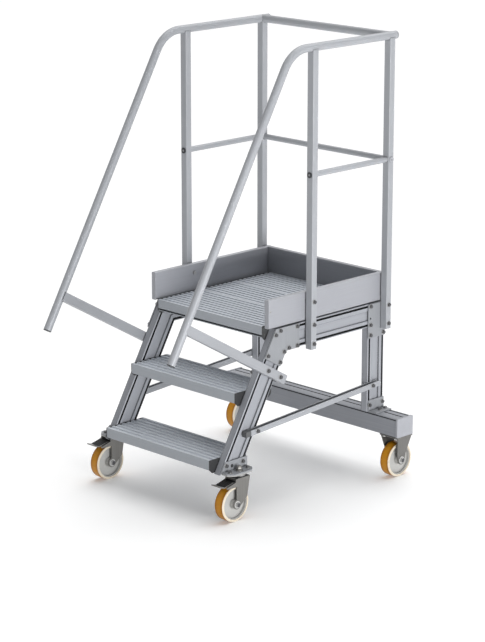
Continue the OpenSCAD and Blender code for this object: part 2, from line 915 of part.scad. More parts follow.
module foot_angles() {
    color("silver") both_sides() difference() {
        union() {
            translate([frame_x, rear_y - foot_len, base_top]) cube([plate_t, foot_len, foot_h]);
            translate([frame_x, rear_y - foot_len, base_top]) cube([foot_reach, foot_len, plate_t]);
        }
        face_holes(foot_bolts);
        foot_flange_places() translate([0, 0, -over])
            cylinder(h = plate_t + 2 * over, r = bolt_hole);
    }
}

// Bolt with its head above 0 and its shank below
module bolt(grip) {
    translate([0, 0, -grip]) cylinder(h = grip + washer_t, d = bolt_d);
    cylinder(h = washer_t, d = washer_d);
    translate([0, 0, washer_t]) cylinder(h = bolt_head_h, d = bolt_head_d, $fn = 6);
}

// Bolts with their heads on a face square to X
module side_bolts(x, places, grip) {
    for (q = places) translate([x, q[0], q[1]]) rotate([0, 90, 0]) bolt(grip);
}

module frame_bolts() {
    post_x = rail_x + rail_r;
    toe_grip = rail_d + plate_t + toe_t;
    color("gray") both_sides() {
        side_bolts(plate_x, concat(gusset_bolts, corner_bolts, hanger_bolts, foot_bolts),
            plate_t + bolt_in);
        side_bolts(post_x, [for (y = [post_y, rear_post_y], z = beam_slots) [y, z]],
            rail_d + plate_t + bolt_in);
        translate([post_x, post_y, deck_z + toe_bolt_z]) rotate([0, 90, 0]) {
            bolt(toe_grip + bolt_head_h);
            translate([0, 0, -toe_grip - bolt_head_h])
                cylinder(h = bolt_head_h, d = bolt_head_d, $fn = 6);
        }
        on_slope(frame_x + arm_t) side_bolts(0, [for (v = slot_lines) [v, arm_at]], arm_t + bolt_in);
        on_brace() side_bolts(brace_t / 2, [[0, 0], [brace_span, 0]], brace_t + bolt_in);
        foot_flange_places() translate([0, 0, plate_t]) bolt(plate_t);
        translate([0, 0, front_h + plate_t]) front_bolt_places() bolt(2 * plate_t);
        translate([rear_x, base_y, castor_h - plate_t]) mirror([0, 0, 1])
            castor_bolt_places(castor_bolt_w, rear_bolt_l) bolt(plate_t);
    }
}

module spacer() {
    rotate([0, 90, 0]) difference() {
        cylinder(h = plate_t, d = washer_d + plate_t);
        translate([0, 0, -over]) cylinder(h = plate_t + 2 * over, r = bolt_hole);
    }
}

module post_spacers() {
    color("gray") both_sides() {
        for (z = concat(beam_slots, deck_z + toe_bolt_z)) translate([frame_x, post_y, z]) spacer();
    }
}

// Fixed part of a swivel castor: top plate, race and riveted kingpin
module front_castor_plate() {
    king_low = crown_z - fork_t - race_gap;
    plate_low = front_h - plate_t;
    difference() {
        translate([0, 0, plate_low]) linear_extrude(plate_t)
            front_plate_outline(front_x - front_plate_w / 2);
        translate([0, 0, plate_low - over]) front_bolt_places()
            cylinder(h = plate_t + 2 * over, r = bolt_hole);
    }
    translate([front_x, front_y, 0]) {
        translate([0, 0, plate_low - race_h]) cylinder(h = race_h, d = race_d);
        translate([0, 0, king_low]) cylinder(h = plate_low - king_low, d = king_d);
        translate([0, 0, king_low - bolt_head_h]) cylinder(h = bolt_head_h, d = 2 * king_d, $fn = 6);
        translate([0, 0, front_h]) cylinder(h = plate_t + washer_t, r = king_d);
    }
}

module front_castor_plate_left() {
    color("silver") mirror([1, 0, 0]) front_castor_plate();
}

module front_castor_plate_right() {
    color("silver") front_castor_plate();
}

// Side view of a swivel fork's leg, with an arm beside the pedal
module front_leg_outline() {
    front = front_y - fork_front;
    rear = front_y + fork_rear;
    pin_z = front_h - pedal_down;
    horn_y = front - horn_l;
    horn_z = pin_z + pedal_up - pedal_t - (front_y - pedal_y - horn_y) * tan(pedal_slope);
    polygon([[front, crown_z], [rear, crown_z], [rear - fork_lean, wheel_r + fork_knee],
        [axle_y + fork_r * low_shares[0], wheel_r - fork_r * low_shares[1]], [axle_y, wheel_r],
        [front, wheel_r], [front, pin_z - pedal_barrel_d], [horn_y, horn_z - horn_h],
        [horn_y, horn_z], [front - fork_t, pin_z + pedal_up]]);
    translate([axle_y, wheel_r]) circle(fork_r);
}

module front_fork() {
    difference() {
        union() {
            translate([front_x, 0, 0]) both_sides() along_x(fork_in, fork_out) front_leg_outline();
            translate([front_x - fork_out, front_y - fork_front, crown_z - fork_t])
                cube([2 * fork_out, fork_front + fork_rear, fork_t]);
            translate([front_x - fork_out, front_y - pedal_y, front_h - pedal_down])
                rotate([0, 90, 0]) cylinder(h = 2 * fork_out, d = pedal_pin_d);
        }
        translate([front_x, front_y, crown_z - fork_t - over])
            cylinder(h = fork_t + 2 * over, r = king_d / 2 + run_gap);
        translate([front_x - fork_out - over, axle_y, wheel_r]) rotate([0, 90, 0])
            cylinder(h = 2 * fork_out + 2 * over, r = axle_d / 2 + run_gap);
    }
}

module front_fork_left() {
    color("silver") mirror([1, 0, 0]) front_fork();
}

module front_fork_right() {
    color("silver") front_fork();
}

// Axle with a washer and a head at each end, middle at the origin
module axle() {
    rotate([0, 90, 0]) {
        translate([0, 0, -fork_out]) cylinder(h = 2 * fork_out, d = axle_d);
        for (i = [0, 1]) mirror([0, 0, i]) translate([0, 0, fork_out]) {
            cylinder(h = washer_t, d = axle_washer_d);
            translate([0, 0, washer_t]) cylinder(h = axle_head_h, d = axle_head_d, $fn = 6);
        }
    }
}

module front_axle_left() {
    color("gray") translate([-front_x, axle_y, wheel_r]) axle();
}

module front_axle_right() {
    color("gray") translate([front_x, axle_y, wheel_r]) axle();
}

// Wheel core turned about X, middle at the origin
module wheel_core() {
    bore_r = axle_d / 2 + run_gap;
    rim_w = wheel_w - 2 * plank_wall;
    rotate([0, 90, 0]) rotate_extrude() {
        translate([bore_r, -hub_w / 2]) square([hub_d / 2 - bore_r, hub_w]);
        translate([bore_r, -disc_t / 2]) square([rim_d / 2 - bore_r, disc_t]);
        translate([rim_in_d / 2, -rim_w / 2]) square([rim_d / 2 - rim_in_d / 2, rim_w]);
    }
}

module wheel_tyre() {
    rotate([0, 90, 0]) rotate_extrude() polygon([
        [rim_d / 2 + seat_gap, -wheel_w / 2], [wheel_r - tyre_bevel, -wheel_w / 2],
        [wheel_r, tyre_bevel - wheel_w / 2], [wheel_r, wheel_w / 2 - tyre_bevel],
        [wheel_r - tyre_bevel, wheel_w / 2], [rim_d / 2 + seat_gap, wheel_w / 2]]);
}

module front_wheel_left() {
    color("lightgray") translate([-front_x, axle_y, wheel_r]) wheel_core();
}

module front_wheel_right() {
    color("lightgray") translate([front_x, axle_y, wheel_r]) wheel_core();
}

module front_tyre_left() {
    color("goldenrod") translate([-front_x, axle_y, wheel_r]) wheel_tyre();
}

module front_tyre_right() {
    color("goldenrod") translate([front_x, axle_y, wheel_r]) wheel_tyre();
}

// Pedal on its pin between the fork's legs, ribbed, with an upturned lip
module brake_pedal() {
    plate_w = pedal_w - 2 * race_gap;
    low = pedal_up - pedal_t;
    grip_n = floor(pedal_l / grip_pitch);
    translate([front_x, front_y - pedal_y, front_h - pedal_down]) difference() {
        union() {
            translate([-pedal_w / 2, 0, 0]) rotate([0, 90, 0]) cylinder(h = pedal_w, d = pedal_barrel_d);
            rotate([pedal_slope, 0, 0]) {
                along_x(-plate_w / 2, plate_w / 2) {
                    polygon([[pedal_back, low], [pedal_back, pedal_up], [-pedal_l, pedal_up],
                        [-pedal_l - pedal_lip, pedal_up + pedal_lip_up],
                        [-pedal_l - pedal_lip, low + pedal_lip_up], [-pedal_l, low]]);
                    for (i = [0 : grip_n - 1])
                        translate([-i * grip_pitch - grip_pitch, pedal_up - grip_h])
                            square([grip_pitch / 2, 2 * grip_h]);
                }
            }
        }
        translate([-pedal_w, 0, 0]) rotate([0, 90, 0])
            cylinder(h = 2 * pedal_w, r = pedal_pin_d / 2 + run_gap);
    }
}

module brake_pedal_left() {
    color("dimgray") mirror([1, 0, 0]) brake_pedal();
}

module brake_pedal_right() {
    color("dimgray") brake_pedal();
}

// Fixed fork pressed from one sheet, its legs leaning in from the plate's sides
module rear_fork() {
    plate_low = castor_h - plate_t;
    knee = wheel_r + fork_r + fork_gap;
    side = castor_plate_w / 2;
    difference() {
        union() {
            translate([rear_x - side, base_y - rear_plate_l / 2, plate_low])
                cube([castor_plate_w, rear_plate_l, plate_t]);
            translate([rear_x, 0, 0]) both_sides() intersection() {
                translate([0, base_y + fork_w, 0]) rotate([90, 0, 0]) linear_extrude(2 * fork_w)
                    polygon([[fork_in, 0], [fork_out, 0], [fork_out, knee], [side, castor_h - plate_t / 2],
                        [side - fork_t, castor_h - plate_t / 2], [fork_in, knee]]);
                along_x(0, castor_plate_w) {
                    polygon([[base_y - fork_w / 2, castor_h], [base_y + fork_w / 2, castor_h],
                        [base_y + fork_r, wheel_r], [base_y - fork_r, wheel_r]]);
                    translate([base_y, wheel_r]) circle(fork_r);
                }
            }
        }
        translate([rear_x - fork_out - over, base_y, wheel_r]) rotate([0, 90, 0])
            cylinder(h = 2 * fork_out + 2 * over, r = axle_d / 2 + run_gap);
        translate([rear_x, base_y, plate_low - over]) castor_bolt_places(castor_bolt_w, rear_bolt_l)
            cylinder(h = plate_t + 2 * over, r = bolt_hole);
    }
}

module rear_fork_left() {
    color("silver") mirror([1, 0, 0]) rear_fork();
}

module rear_fork_right() {
    color("silver") rear_fork();
}

module rear_axles() {
    color("gray") both_sides() translate([rear_x, base_y, wheel_r]) axle();
}

module rear_wheel_left() {
    color("lightgray") translate([-rear_x, base_y, wheel_r]) wheel_core();
}

module rear_wheel_right() {
    color("lightgray") translate([rear_x, base_y, wheel_r]) wheel_core();
}

module rear_tyre_left() {
    color("goldenrod") translate([-rear_x, base_y, wheel_r]) wheel_tyre();
}

module rear_tyre_right() {
    color("goldenrod") translate([rear_x, base_y, wheel_r]) wheel_tyre();
}

stringer_left();
stringer_right();
side_beam_left();
side_beam_right();
rear_leg_left();
rear_leg_right();
base_beam();
base_beam_caps();
lower_tread();
upper_tread();
tread_caps();
deck_plank_front();
deck_plank_middle();
deck_plank_rear();
deck_caps();
toe_board_left();
toe_board_right();
toe_board_rear();
front_post_left();
front_post_right();
rear_post_left();
rear_post_right();
handrail_left();
handrail_right();
rear_top_rail();
rail_plugs();
knee_rail_left();
knee_rail_right();
knee_rail_rear();
handrail_arm_left();
handrail_arm_right();
gusset_plates();
corner_plates();
brace_left();
brace_right();
brace_plugs();
castor_hangers();
foot_angles();
frame_bolts();
post_spacers();
front_castor_plate_left();
front_castor_plate_right();
front_fork_left();
front_fork_right();
front_axle_left();
front_axle_right();
front_wheel_left();
front_wheel_right();
front_tyre_left();
front_tyre_right();
brake_pedal_left();
brake_pedal_right();
rear_fork_left();
rear_fork_right();
rear_axles();
rear_wheel_left();
rear_wheel_right();
rear_tyre_left();
rear_tyre_right();
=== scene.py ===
import math
import bpy
import bmesh
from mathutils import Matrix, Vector


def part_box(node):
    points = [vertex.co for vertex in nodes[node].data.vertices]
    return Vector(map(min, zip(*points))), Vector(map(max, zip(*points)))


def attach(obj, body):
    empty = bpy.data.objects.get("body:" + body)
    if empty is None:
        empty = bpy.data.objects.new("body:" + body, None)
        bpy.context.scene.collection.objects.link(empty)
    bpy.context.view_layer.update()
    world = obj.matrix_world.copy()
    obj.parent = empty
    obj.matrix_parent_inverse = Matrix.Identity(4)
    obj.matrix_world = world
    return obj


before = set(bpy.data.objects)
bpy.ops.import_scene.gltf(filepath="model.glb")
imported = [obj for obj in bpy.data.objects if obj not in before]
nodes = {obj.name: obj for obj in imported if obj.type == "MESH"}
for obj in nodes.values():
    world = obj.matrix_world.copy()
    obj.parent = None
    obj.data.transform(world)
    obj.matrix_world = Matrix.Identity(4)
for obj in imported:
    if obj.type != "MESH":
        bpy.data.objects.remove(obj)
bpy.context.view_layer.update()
print("frame loaded:", len(nodes), "pieces")


def middleOf(name):
    low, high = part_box(name)
    return (low + high) / 2


def sizeOf(name):
    low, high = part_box(name)
    return high - low


# shared surface effects, each built once as a node group

def newGroup(name, inputs, outputs):
    group = bpy.data.node_groups.new(name, "ShaderNodeTree")
    for socketName, kind, value in inputs:
        socket = group.interface.new_socket(socketName, in_out="INPUT", socket_type=kind)
        socket.default_value = value
    for socketName, kind in outputs:
        group.interface.new_socket(socketName, in_out="OUTPUT", socket_type=kind)
    return group, group.nodes.new("NodeGroupInput"), group.nodes.new("NodeGroupOutput")


def addNode(tree, kind, settings=None, **values):
    node = tree.nodes.new(kind)
    for key, value in (settings or {}).items():
        setattr(node, key, value)
    for key, value in values.items():
        node.inputs[key].default_value = value
    return node


def addMath(tree, operation, a, b=None):
    node = tree.nodes.new("ShaderNodeMath")
    node.operation = operation
    for index, value in enumerate((a, b)):
        if value is None:
            continue
        if isinstance(value, (int, float)):
            node.inputs[index].default_value = value
        else:
            tree.links.new(value, node.inputs[index])
    return node.outputs[0]


def addRange(tree, value, fromMin, fromMax):
    # 0 at fromMin, 1 at fromMax
    node = tree.nodes.new("ShaderNodeMapRange")
    tree.links.new(value, node.inputs["Value"])
    node.inputs["From Min"].default_value = fromMin
    node.inputs["From Max"].default_value = fromMax
    return node.outputs["Result"]


def addMix(tree, factor, a, b):
    # colours a and b are tuples or sockets; 0, 6, 7 and 2 are the node's sockets for colours
    node = tree.nodes.new("ShaderNodeMix")
    node.data_type = "RGBA"
    tree.links.new(factor, node.inputs[0])
    for value, socket in ((a, node.inputs[6]), (b, node.inputs[7])):
        if isinstance(value, tuple):
            socket.default_value = value + (1.0,)
        else:
            tree.links.new(value, socket)
    return node.outputs[2]


grainLook = {
    "fineness": 900.0, "stretch": 0.006, "lineDetail": 3.0, "lineRough": 0.6,
    "cloudScale": 7.0, "cloudDetail": 4.0, "cloudRough": 0.55, "spread": (0.3, 0.7)}


def makeDrawnGrain():
    # fine lines left by the die, long in the group's Z
    group, start, end = newGroup(
        "drawnGrain",
        [("Vector", "NodeSocketVector", (0, 0, 0)),
         ("Fineness", "NodeSocketFloat", grainLook["fineness"])],
        [("Lines", "NodeSocketFloat"), ("Clouds", "NodeSocketFloat")])
    squeeze = addNode(group, "ShaderNodeVectorMath", {"operation": "MULTIPLY"})
    squeeze.inputs[1].default_value = (1.0, 1.0, grainLook["stretch"])
    group.links.new(start.outputs["Vector"], squeeze.inputs[0])
    lines = addNode(group, "ShaderNodeTexNoise",
                    Detail=grainLook["lineDetail"], Roughness=grainLook["lineRough"])
    group.links.new(squeeze.outputs[0], lines.inputs["Vector"])
    group.links.new(start.outputs["Fineness"], lines.inputs["Scale"])
    clouds = addNode(group, "ShaderNodeTexNoise", Scale=grainLook["cloudScale"],
                     Detail=grainLook["cloudDetail"], Roughness=grainLook["cloudRough"])
    group.links.new(start.outputs["Vector"], clouds.inputs["Vector"])
    group.links.new(addRange(group, lines.outputs["Fac"], *grainLook["spread"]), end.inputs["Lines"])
    group.links.new(addRange(group, clouds.outputs["Fac"], *grainLook["spread"]), end.inputs["Clouds"])
    return group


handlingLook = {
    "scuffScale": 55.0, "scuffDetail": 6.0, "scuffRough": 0.7, "scuffTwist": 0.6, "scuffRange": (0.58, 0.72),
    "driftScale": 19.0, "driftDetail": 5.0, "driftRough": 0.6, "driftRange": (0.35, 0.7),
    "upRange": (0.5, 0.95)}


def makeHandling():
    # small scuffs and the dust that settles on faces turned up
    group, start, end = newGroup(
        "handlingMarks",
        [("Vector", "NodeSocketVector", (0, 0, 0)), ("Normal", "NodeSocketVector", (0, 0, 1))],
        [("Scuffs", "NodeSocketFloat"), ("Dust", "NodeSocketFloat")])
    look = handlingLook
    scuff = addNode(group, "ShaderNodeTexNoise", Scale=look["scuffScale"], Detail=look["scuffDetail"],
                    Roughness=look["scuffRough"], Distortion=look["scuffTwist"])
    group.links.new(start.outputs["Vector"], scuff.inputs["Vector"])
    group.links.new(addRange(group, scuff.outputs["Fac"], *look["scuffRange"]), end.inputs["Scuffs"])
    drift = addNode(group, "ShaderNodeTexNoise", Scale=look["driftScale"], Detail=look["driftDetail"],
                    Roughness=look["driftRough"])
    group.links.new(start.outputs["Vector"], drift.inputs["Vector"])
    split = addNode(group, "ShaderNodeSeparateXYZ")
    group.links.new(start.outputs["Normal"], split.inputs[0])
    up = addRange(group, split.outputs["Z"], *look["upRange"])
    settled = addMath(group, "MULTIPLY", up, addRange(group, drift.outputs["Fac"], *look["driftRange"]))
    group.links.new(settled, end.inputs["Dust"])
    return group


pebbleLook = {
    "scale": 900.0, "blotchScale": 16.0, "blotchDetail": 4.0, "blotchRough": 0.6, "spread": (0.3, 0.7)}


def makePebble():
    # fine moulded texture of the plastic pieces
    group, start, end = newGroup(
        "mouldedPebble",
        [("Vector", "NodeSocketVector", (0, 0, 0)), ("Scale", "NodeSocketFloat", pebbleLook["scale"])],
        [("Height", "NodeSocketFloat"), ("Blotch", "NodeSocketFloat")])
    cells = addNode(group, "ShaderNodeTexVoronoi")
    group.links.new(start.outputs["Vector"], cells.inputs["Vector"])
    group.links.new(start.outputs["Scale"], cells.inputs["Scale"])
    blotch = addNode(group, "ShaderNodeTexNoise", Scale=pebbleLook["blotchScale"],
                     Detail=pebbleLook["blotchDetail"], Roughness=pebbleLook["blotchRough"])
    group.links.new(start.outputs["Vector"], blotch.inputs["Vector"])
    group.links.new(cells.outputs["Distance"], end.inputs["Height"])
    group.links.new(addRange(group, blotch.outputs["Fac"], *pebbleLook["spread"]), end.inputs["Blotch"])
    return group


edgeLook = {
    "radius": 0.0012, "reach": 0.010, "samples": 6, "edgeRange": (0.985, 0.8), "recessShadeRange": (0.85, 0.35),
    "jointShadeReach": 0.006, "jointShadeRange": (0.85, 0.45)}


def makeEdgesAndPaintedShade():
    # rounded corners for the light, rubbed edges with a painted edge highlight,
    # painted shade in slots and hollows, and painted shade where pieces meet
    group, start, end = newGroup(
        "edgesAndPaintedShade",
        [("Radius", "NodeSocketFloat", edgeLook["radius"]), ("Reach", "NodeSocketFloat", edgeLook["reach"])],
        [("Normal", "NodeSocketVector"), ("EdgeWearAndHighlight", "NodeSocketFloat"),
         ("PaintedRecessShade", "NodeSocketFloat"), ("PaintedJointShade", "NodeSocketFloat")])
    samples = edgeLook["samples"]
    bevel = addNode(group, "ShaderNodeBevel", {"samples": samples})
    group.links.new(start.outputs["Radius"], bevel.inputs["Radius"])
    face = group.nodes.new("ShaderNodeNewGeometry")
    agree = addNode(group, "ShaderNodeVectorMath", {"operation": "DOT_PRODUCT"})
    group.links.new(bevel.outputs["Normal"], agree.inputs[0])
    group.links.new(face.outputs["Normal"], agree.inputs[1])
    group.links.new(bevel.outputs["Normal"], end.inputs["Normal"])
    group.links.new(addRange(group, agree.outputs["Value"], *edgeLook["edgeRange"]), end.inputs["EdgeWearAndHighlight"])
    # the two ambient occlusion masks below paint shade: in the piece's own hollows, and where it meets other
    # pieces
    hollow = addNode(group, "ShaderNodeAmbientOcclusion", {"samples": samples, "only_local": True})
    group.links.new(start.outputs["Reach"], hollow.inputs["Distance"])
    group.links.new(addRange(group, hollow.outputs["AO"], *edgeLook["recessShadeRange"]), end.inputs["PaintedRecessShade"])
    meeting = addNode(group, "ShaderNodeAmbientOcclusion", {"samples": samples},
                      Distance=edgeLook["jointShadeReach"])
    group.links.new(addRange(group, meeting.outputs["AO"], *edgeLook["jointShadeRange"]), end.inputs["PaintedJointShade"])
    return group


drawnGrain = makeDrawnGrain()
handlingMarks = makeHandling()
mouldedPebble = makePebble()
edgesAndPaintedShade = makeEdgesAndPaintedShade()


def newMaterial(name):
    material = bpy.data.materials.new(name)
    material.use_nodes = True
    tree = material.node_tree
    shader = tree.nodes["Principled BSDF"]
    place = tree.nodes.new("ShaderNodeTexCoord")
    return material, tree, shader, place


def placeGroup(tree, group, links, **values):
    node = tree.nodes.new("ShaderNodeGroup")
    node.node_tree = group
    for key, socket in links.items():
        tree.links.new(socket, node.inputs[key])
    for key, value in values.items():
        node.inputs[key].default_value = value
    return node


def addBump(tree, shader, height, strength, distance, normal):
    bump = addNode(tree, "ShaderNodeBump", Strength=strength, Distance=distance)
    tree.links.new(height, bump.inputs["Height"])
    tree.links.new(normal, bump.inputs["Normal"])
    tree.links.new(bump.outputs["Normal"], shader.inputs["Normal"])


def scaled(colour, share):
    return tuple(min(1.0, c * share) for c in colour)


# metal finishes: colour, shine, die lines, dust, rubbed edges with a painted edge highlight,
# and painted shade in the slots; some set how far that painted shade reaches, how dark hollows
# are painted (lighter on the plank tops) and how dark the painted shade where pieces meet is
metalLook = {
    "profile": {
        "colour": (0.345, 0.357, 0.388), "metal": 0.08, "spec": 0.22, "rough": 0.42,
        "lines": 0.08, "dust": 0.08, "rub": 1.35, "recessShadeShare": 0.9},
    # a darker copy of the profile finish: painted shade on the base beam and on the stringers' front edges
    "beam": {
        "colour": (0.305, 0.316, 0.344), "metal": 0.08, "spec": 0.15, "rough": 0.44,
        "lines": 0.10, "dust": 0.06, "rub": 1.4, "recessShadeShare": 0.95},
    "tube": {
        "colour": (0.375, 0.388, 0.413), "metal": 0.10, "spec": 0.22, "rough": 0.32,
        "lines": 0.06, "dust": 0.04, "rub": 1.2, "recessShadeShare": 0.5},
    # a darker copy of the tube finish: painted shade on the handrail arms
    "arm": {
        "colour": (0.350, 0.361, 0.385), "metal": 0.10, "spec": 0.22, "rough": 0.34,
        "lines": 0.06, "dust": 0.04, "rub": 1.2, "recessShadeShare": 0.5},
    # its hollow value above 1 paints the hollows between the ribs lighter, as painted light; the painted
    # shade where pieces meet is low
    "plank": {
        "colour": (0.385, 0.408, 0.44), "metal": 0.15, "spec": 0.3, "rough": 0.46,
        "lines": 0.06, "dust": 0.12, "rub": 1.1, "recessShadeShare": 0.9, "hollow": 1.7, "jointShadeShare": 0.15},
    # lighter copies of the plank finish for the rib tops: painted light, with their hollows painted lighter
    # too
    "treadTopLit": {
        "colour": (0.60, 0.635, 0.685), "metal": 0.15, "spec": 0.3, "rough": 0.46,
        "lines": 0.06, "dust": 0.08, "rub": 1.1, "recessShadeShare": 0.9, "hollow": 1.2, "jointShadeShare": 0.15},
    "deckTopLit": {
        "colour": (0.53, 0.56, 0.605), "metal": 0.15, "spec": 0.3, "rough": 0.46,
        "lines": 0.06, "dust": 0.08, "rub": 1.1, "recessShadeShare": 0.9, "hollow": 1.35, "jointShadeShare": 0.15},
    "board": {
        "colour": (0.355, 0.363, 0.393), "metal": 0.2, "spec": 0.45, "rough": 0.46,
        "lines": 0.06, "dust": 0.10, "rub": 1.3, "recessShadeShare": 0.4},
    # a darker copy of the board finish: painted shade on the rear toe board
    "shadedBoard": {
        "colour": (0.268, 0.275, 0.298), "metal": 0.2, "spec": 0.4, "rough": 0.46,
        "lines": 0.06, "dust": 0.10, "rub": 1.3, "recessShadeShare": 0.4},
    "plate": {
        "colour": (0.30, 0.311, 0.331), "metal": 0.12, "spec": 0.25, "rough": 0.42,
        "lines": 0.06, "dust": 0.06, "rub": 1.45, "recessShadeShare": 0.6},
    # on the forks the painted shade in hollows reaches further, across to the other leg
    "fork": {
        "colour": (0.195, 0.19, 0.18), "metal": 0.5, "spec": 0.5, "rough": 0.36,
        "lines": 0.16, "dust": 0.05, "rub": 1.7, "recessShadeShare": 0.85, "reach": 0.03},
    # a darker copy of the fork finish: painted shade on the rear forks
    "shadedFork": {
        "colour": (0.168, 0.164, 0.156), "metal": 0.5, "spec": 0.5, "rough": 0.36,
        "lines": 0.16, "dust": 0.05, "rub": 1.7, "recessShadeShare": 0.85, "reach": 0.03},
    # painted shade on the fork faces turned to the wheel
    "forkInsideShade": {
        "colour": (0.075, 0.070, 0.064), "metal": 0.3, "spec": 0.3, "rough": 0.45,
        "lines": 0.10, "dust": 0.05, "rub": 1.5, "recessShadeShare": 0.8, "reach": 0.03},
    "axle": {
        "colour": (0.60, 0.60, 0.59), "metal": 0.35, "spec": 0.4, "rough": 0.32,
        "lines": 0.06, "dust": 0.04, "rub": 1.2, "recessShadeShare": 0.5},
    "zinc": {
        "colour": (0.40, 0.40, 0.395), "metal": 0.5, "spec": 0.4, "rough": 0.32,
        "lines": 0.08, "dust": 0.04, "rub": 1.4, "recessShadeShare": 0.6},
    "bolt": {
        "colour": (0.085, 0.085, 0.09), "metal": 0.4, "spec": 0.4, "rough": 0.36,
        "lines": 0.10, "dust": 0.04, "rub": 2.2, "recessShadeShare": 0.5},
    "plugRivet": {
        "colour": (0.26, 0.265, 0.275), "metal": 0.3, "spec": 0.4, "rough": 0.36,
        "lines": 0.06, "dust": 0.04, "rub": 1.1, "recessShadeShare": 0.5, "jointShadeShare": 0.2},
    "slotShade": {
        "colour": (0.028, 0.029, 0.031), "metal": 0.3, "spec": 0.2, "rough": 0.5,
        "lines": 0.10, "dust": 0.05, "rub": 1.2, "recessShadeShare": 0.5},
    "weld": {
        "colour": (0.30, 0.31, 0.325), "metal": 0.3, "spec": 0.3, "rough": 0.42,
        "lines": 0.10, "dust": 0.06, "rub": 1.2, "recessShadeShare": 0.7},
}
slope = math.radians(30)  # how far the stringers lean back
quarter = math.radians(90)
lineTurns = {
    "alongX": (0, quarter, 0), "alongY": (quarter, 0, 0), "alongZ": (0, 0, 0),
    "onSlope": (slope, 0, 0), "acrossSlope": (slope + quarter, 0, 0)}


# what all metals share
metalWork = {
    "fineness": 700.0, "edgeRadius": 0.0012, "reach": 0.010, "cloudShare": 0.35, "cloudShade": 0.92,
    "dustColour": (0.36, 0.35, 0.33), "rubAndHighlightShare": 0.8, "hollow": 0.12, "jointShadeShare": 0.6, "jointShade": 0.2,
    "lineRough": 0.08, "scuffRough": 0.10, "scuffHigh": 0.4, "bump": 0.12, "bumpDeep": 0.0004}


def makeMetal(kind, turn):
    look = metalWork | metalLook[kind]
    base = look["colour"]
    material, tree, shader, place = newMaterial(kind + turn[0].upper() + turn[1:])
    aim = addNode(tree, "ShaderNodeMapping", Rotation=lineTurns[turn])
    tree.links.new(place.outputs["Object"], aim.inputs["Vector"])
    grain = placeGroup(tree, drawnGrain, {"Vector": aim.outputs[0]}, Fineness=look["fineness"])
    marks = placeGroup(tree, handlingMarks, {
        "Vector": place.outputs["Object"], "Normal": place.outputs["Normal"]})
    edges = placeGroup(tree, edgesAndPaintedShade, {}, Radius=look["edgeRadius"], Reach=look["reach"])
    colour = addMix(tree, grain.outputs["Lines"], scaled(base, 1 - look["lines"]),
                    scaled(base, 1 + look["lines"]))
    clouded = addMath(tree, "MULTIPLY", grain.outputs["Clouds"], look["cloudShare"])
    colour = addMix(tree, clouded, colour, scaled(base, look["cloudShade"]))
    dusty = addMath(tree, "MULTIPLY", marks.outputs["Dust"], look["dust"])
    colour = addMix(tree, dusty, colour, look["dustColour"])
    # edges painted lighter: rubbed metal and a painted edge highlight
    rubbedAndLit = addMath(tree, "MULTIPLY", edges.outputs["EdgeWearAndHighlight"], look["rubAndHighlightShare"])
    colour = addMix(tree, rubbedAndLit, colour, scaled(base, look["rub"]))
    # painted shade in slots and hollows (painted lighter instead on the plank tops)
    paintedShadeMask = addMath(tree, "MULTIPLY", edges.outputs["PaintedRecessShade"], look["recessShadeShare"])
    colour = addMix(tree, paintedShadeMask, colour, scaled(base, look["hollow"]))
    # painted shade where this piece meets others
    shadeMask = addMath(tree, "MULTIPLY", edges.outputs["PaintedJointShade"], look["jointShadeShare"])
    colour = addMix(tree, shadeMask, colour, scaled(base, look["jointShade"]))
    tree.links.new(colour, shader.inputs["Base Color"])
    rough = addMath(tree, "MULTIPLY_ADD", grain.outputs["Lines"], look["lineRough"])
    rough.node.inputs[2].default_value = look["rough"]
    scuffRough = addMath(tree, "MULTIPLY", marks.outputs["Scuffs"], look["scuffRough"])
    tree.links.new(addMath(tree, "ADD", rough, scuffRough), shader.inputs["Roughness"])
    shader.inputs["Metallic"].default_value = look["metal"]
    shader.inputs["Specular IOR Level"].default_value = look["spec"]
    scuffed = addMath(tree, "MULTIPLY", marks.outputs["Scuffs"], look["scuffHigh"])
    height = addMath(tree, "ADD", grain.outputs["Lines"], scuffed)
    addBump(tree, shader, height, look["bump"], look["bumpDeep"], edges.outputs["Normal"])
    return material


plasticLook = {
    "blackPlastic": {"colour": (0.033, 0.034, 0.036), "rough": 0.5, "bump": 0.25},
    "deckCap": {"colour": (0.055, 0.057, 0.058), "rough": 0.5, "bump": 0.25},
    "kneePlug": {"colour": (0.045, 0.047, 0.051), "rough": 0.45, "bump": 0.2},
    "pedalGrip": {"colour": (0.010, 0.010, 0.011), "rough": 0.5, "bump": 0.3, "spec": 0.12},
    "darkPlug": {"colour": (0.105, 0.108, 0.113), "rough": 0.5, "bump": 0.2},
    "greyPlug": {"colour": (0.26, 0.27, 0.285), "rough": 0.45, "bump": 0.2},
    "paleCap": {"colour": (0.385, 0.394, 0.426), "rough": 0.5, "bump": 0.2},
    "wheelCore": {"colour": (0.48, 0.478, 0.463), "rough": 0.38, "bump": 0.12},
}


# what all plastics share
plasticWork = {
    "pebble": 800.0, "edgeRadius": 0.001, "blotchShare": 0.5, "blotchShade": 0.85, "scuffShare": 0.25,
    "paleTimes": 1.4, "paleAdd": 0.02, "edgeWearAndHighlightShare": 0.5, "paintedShadeShare": 0.6, "paintedShadeTone": 0.25,
    "spec": 0.35, "blotchRough": 0.12, "bumpDeep": 0.0003}


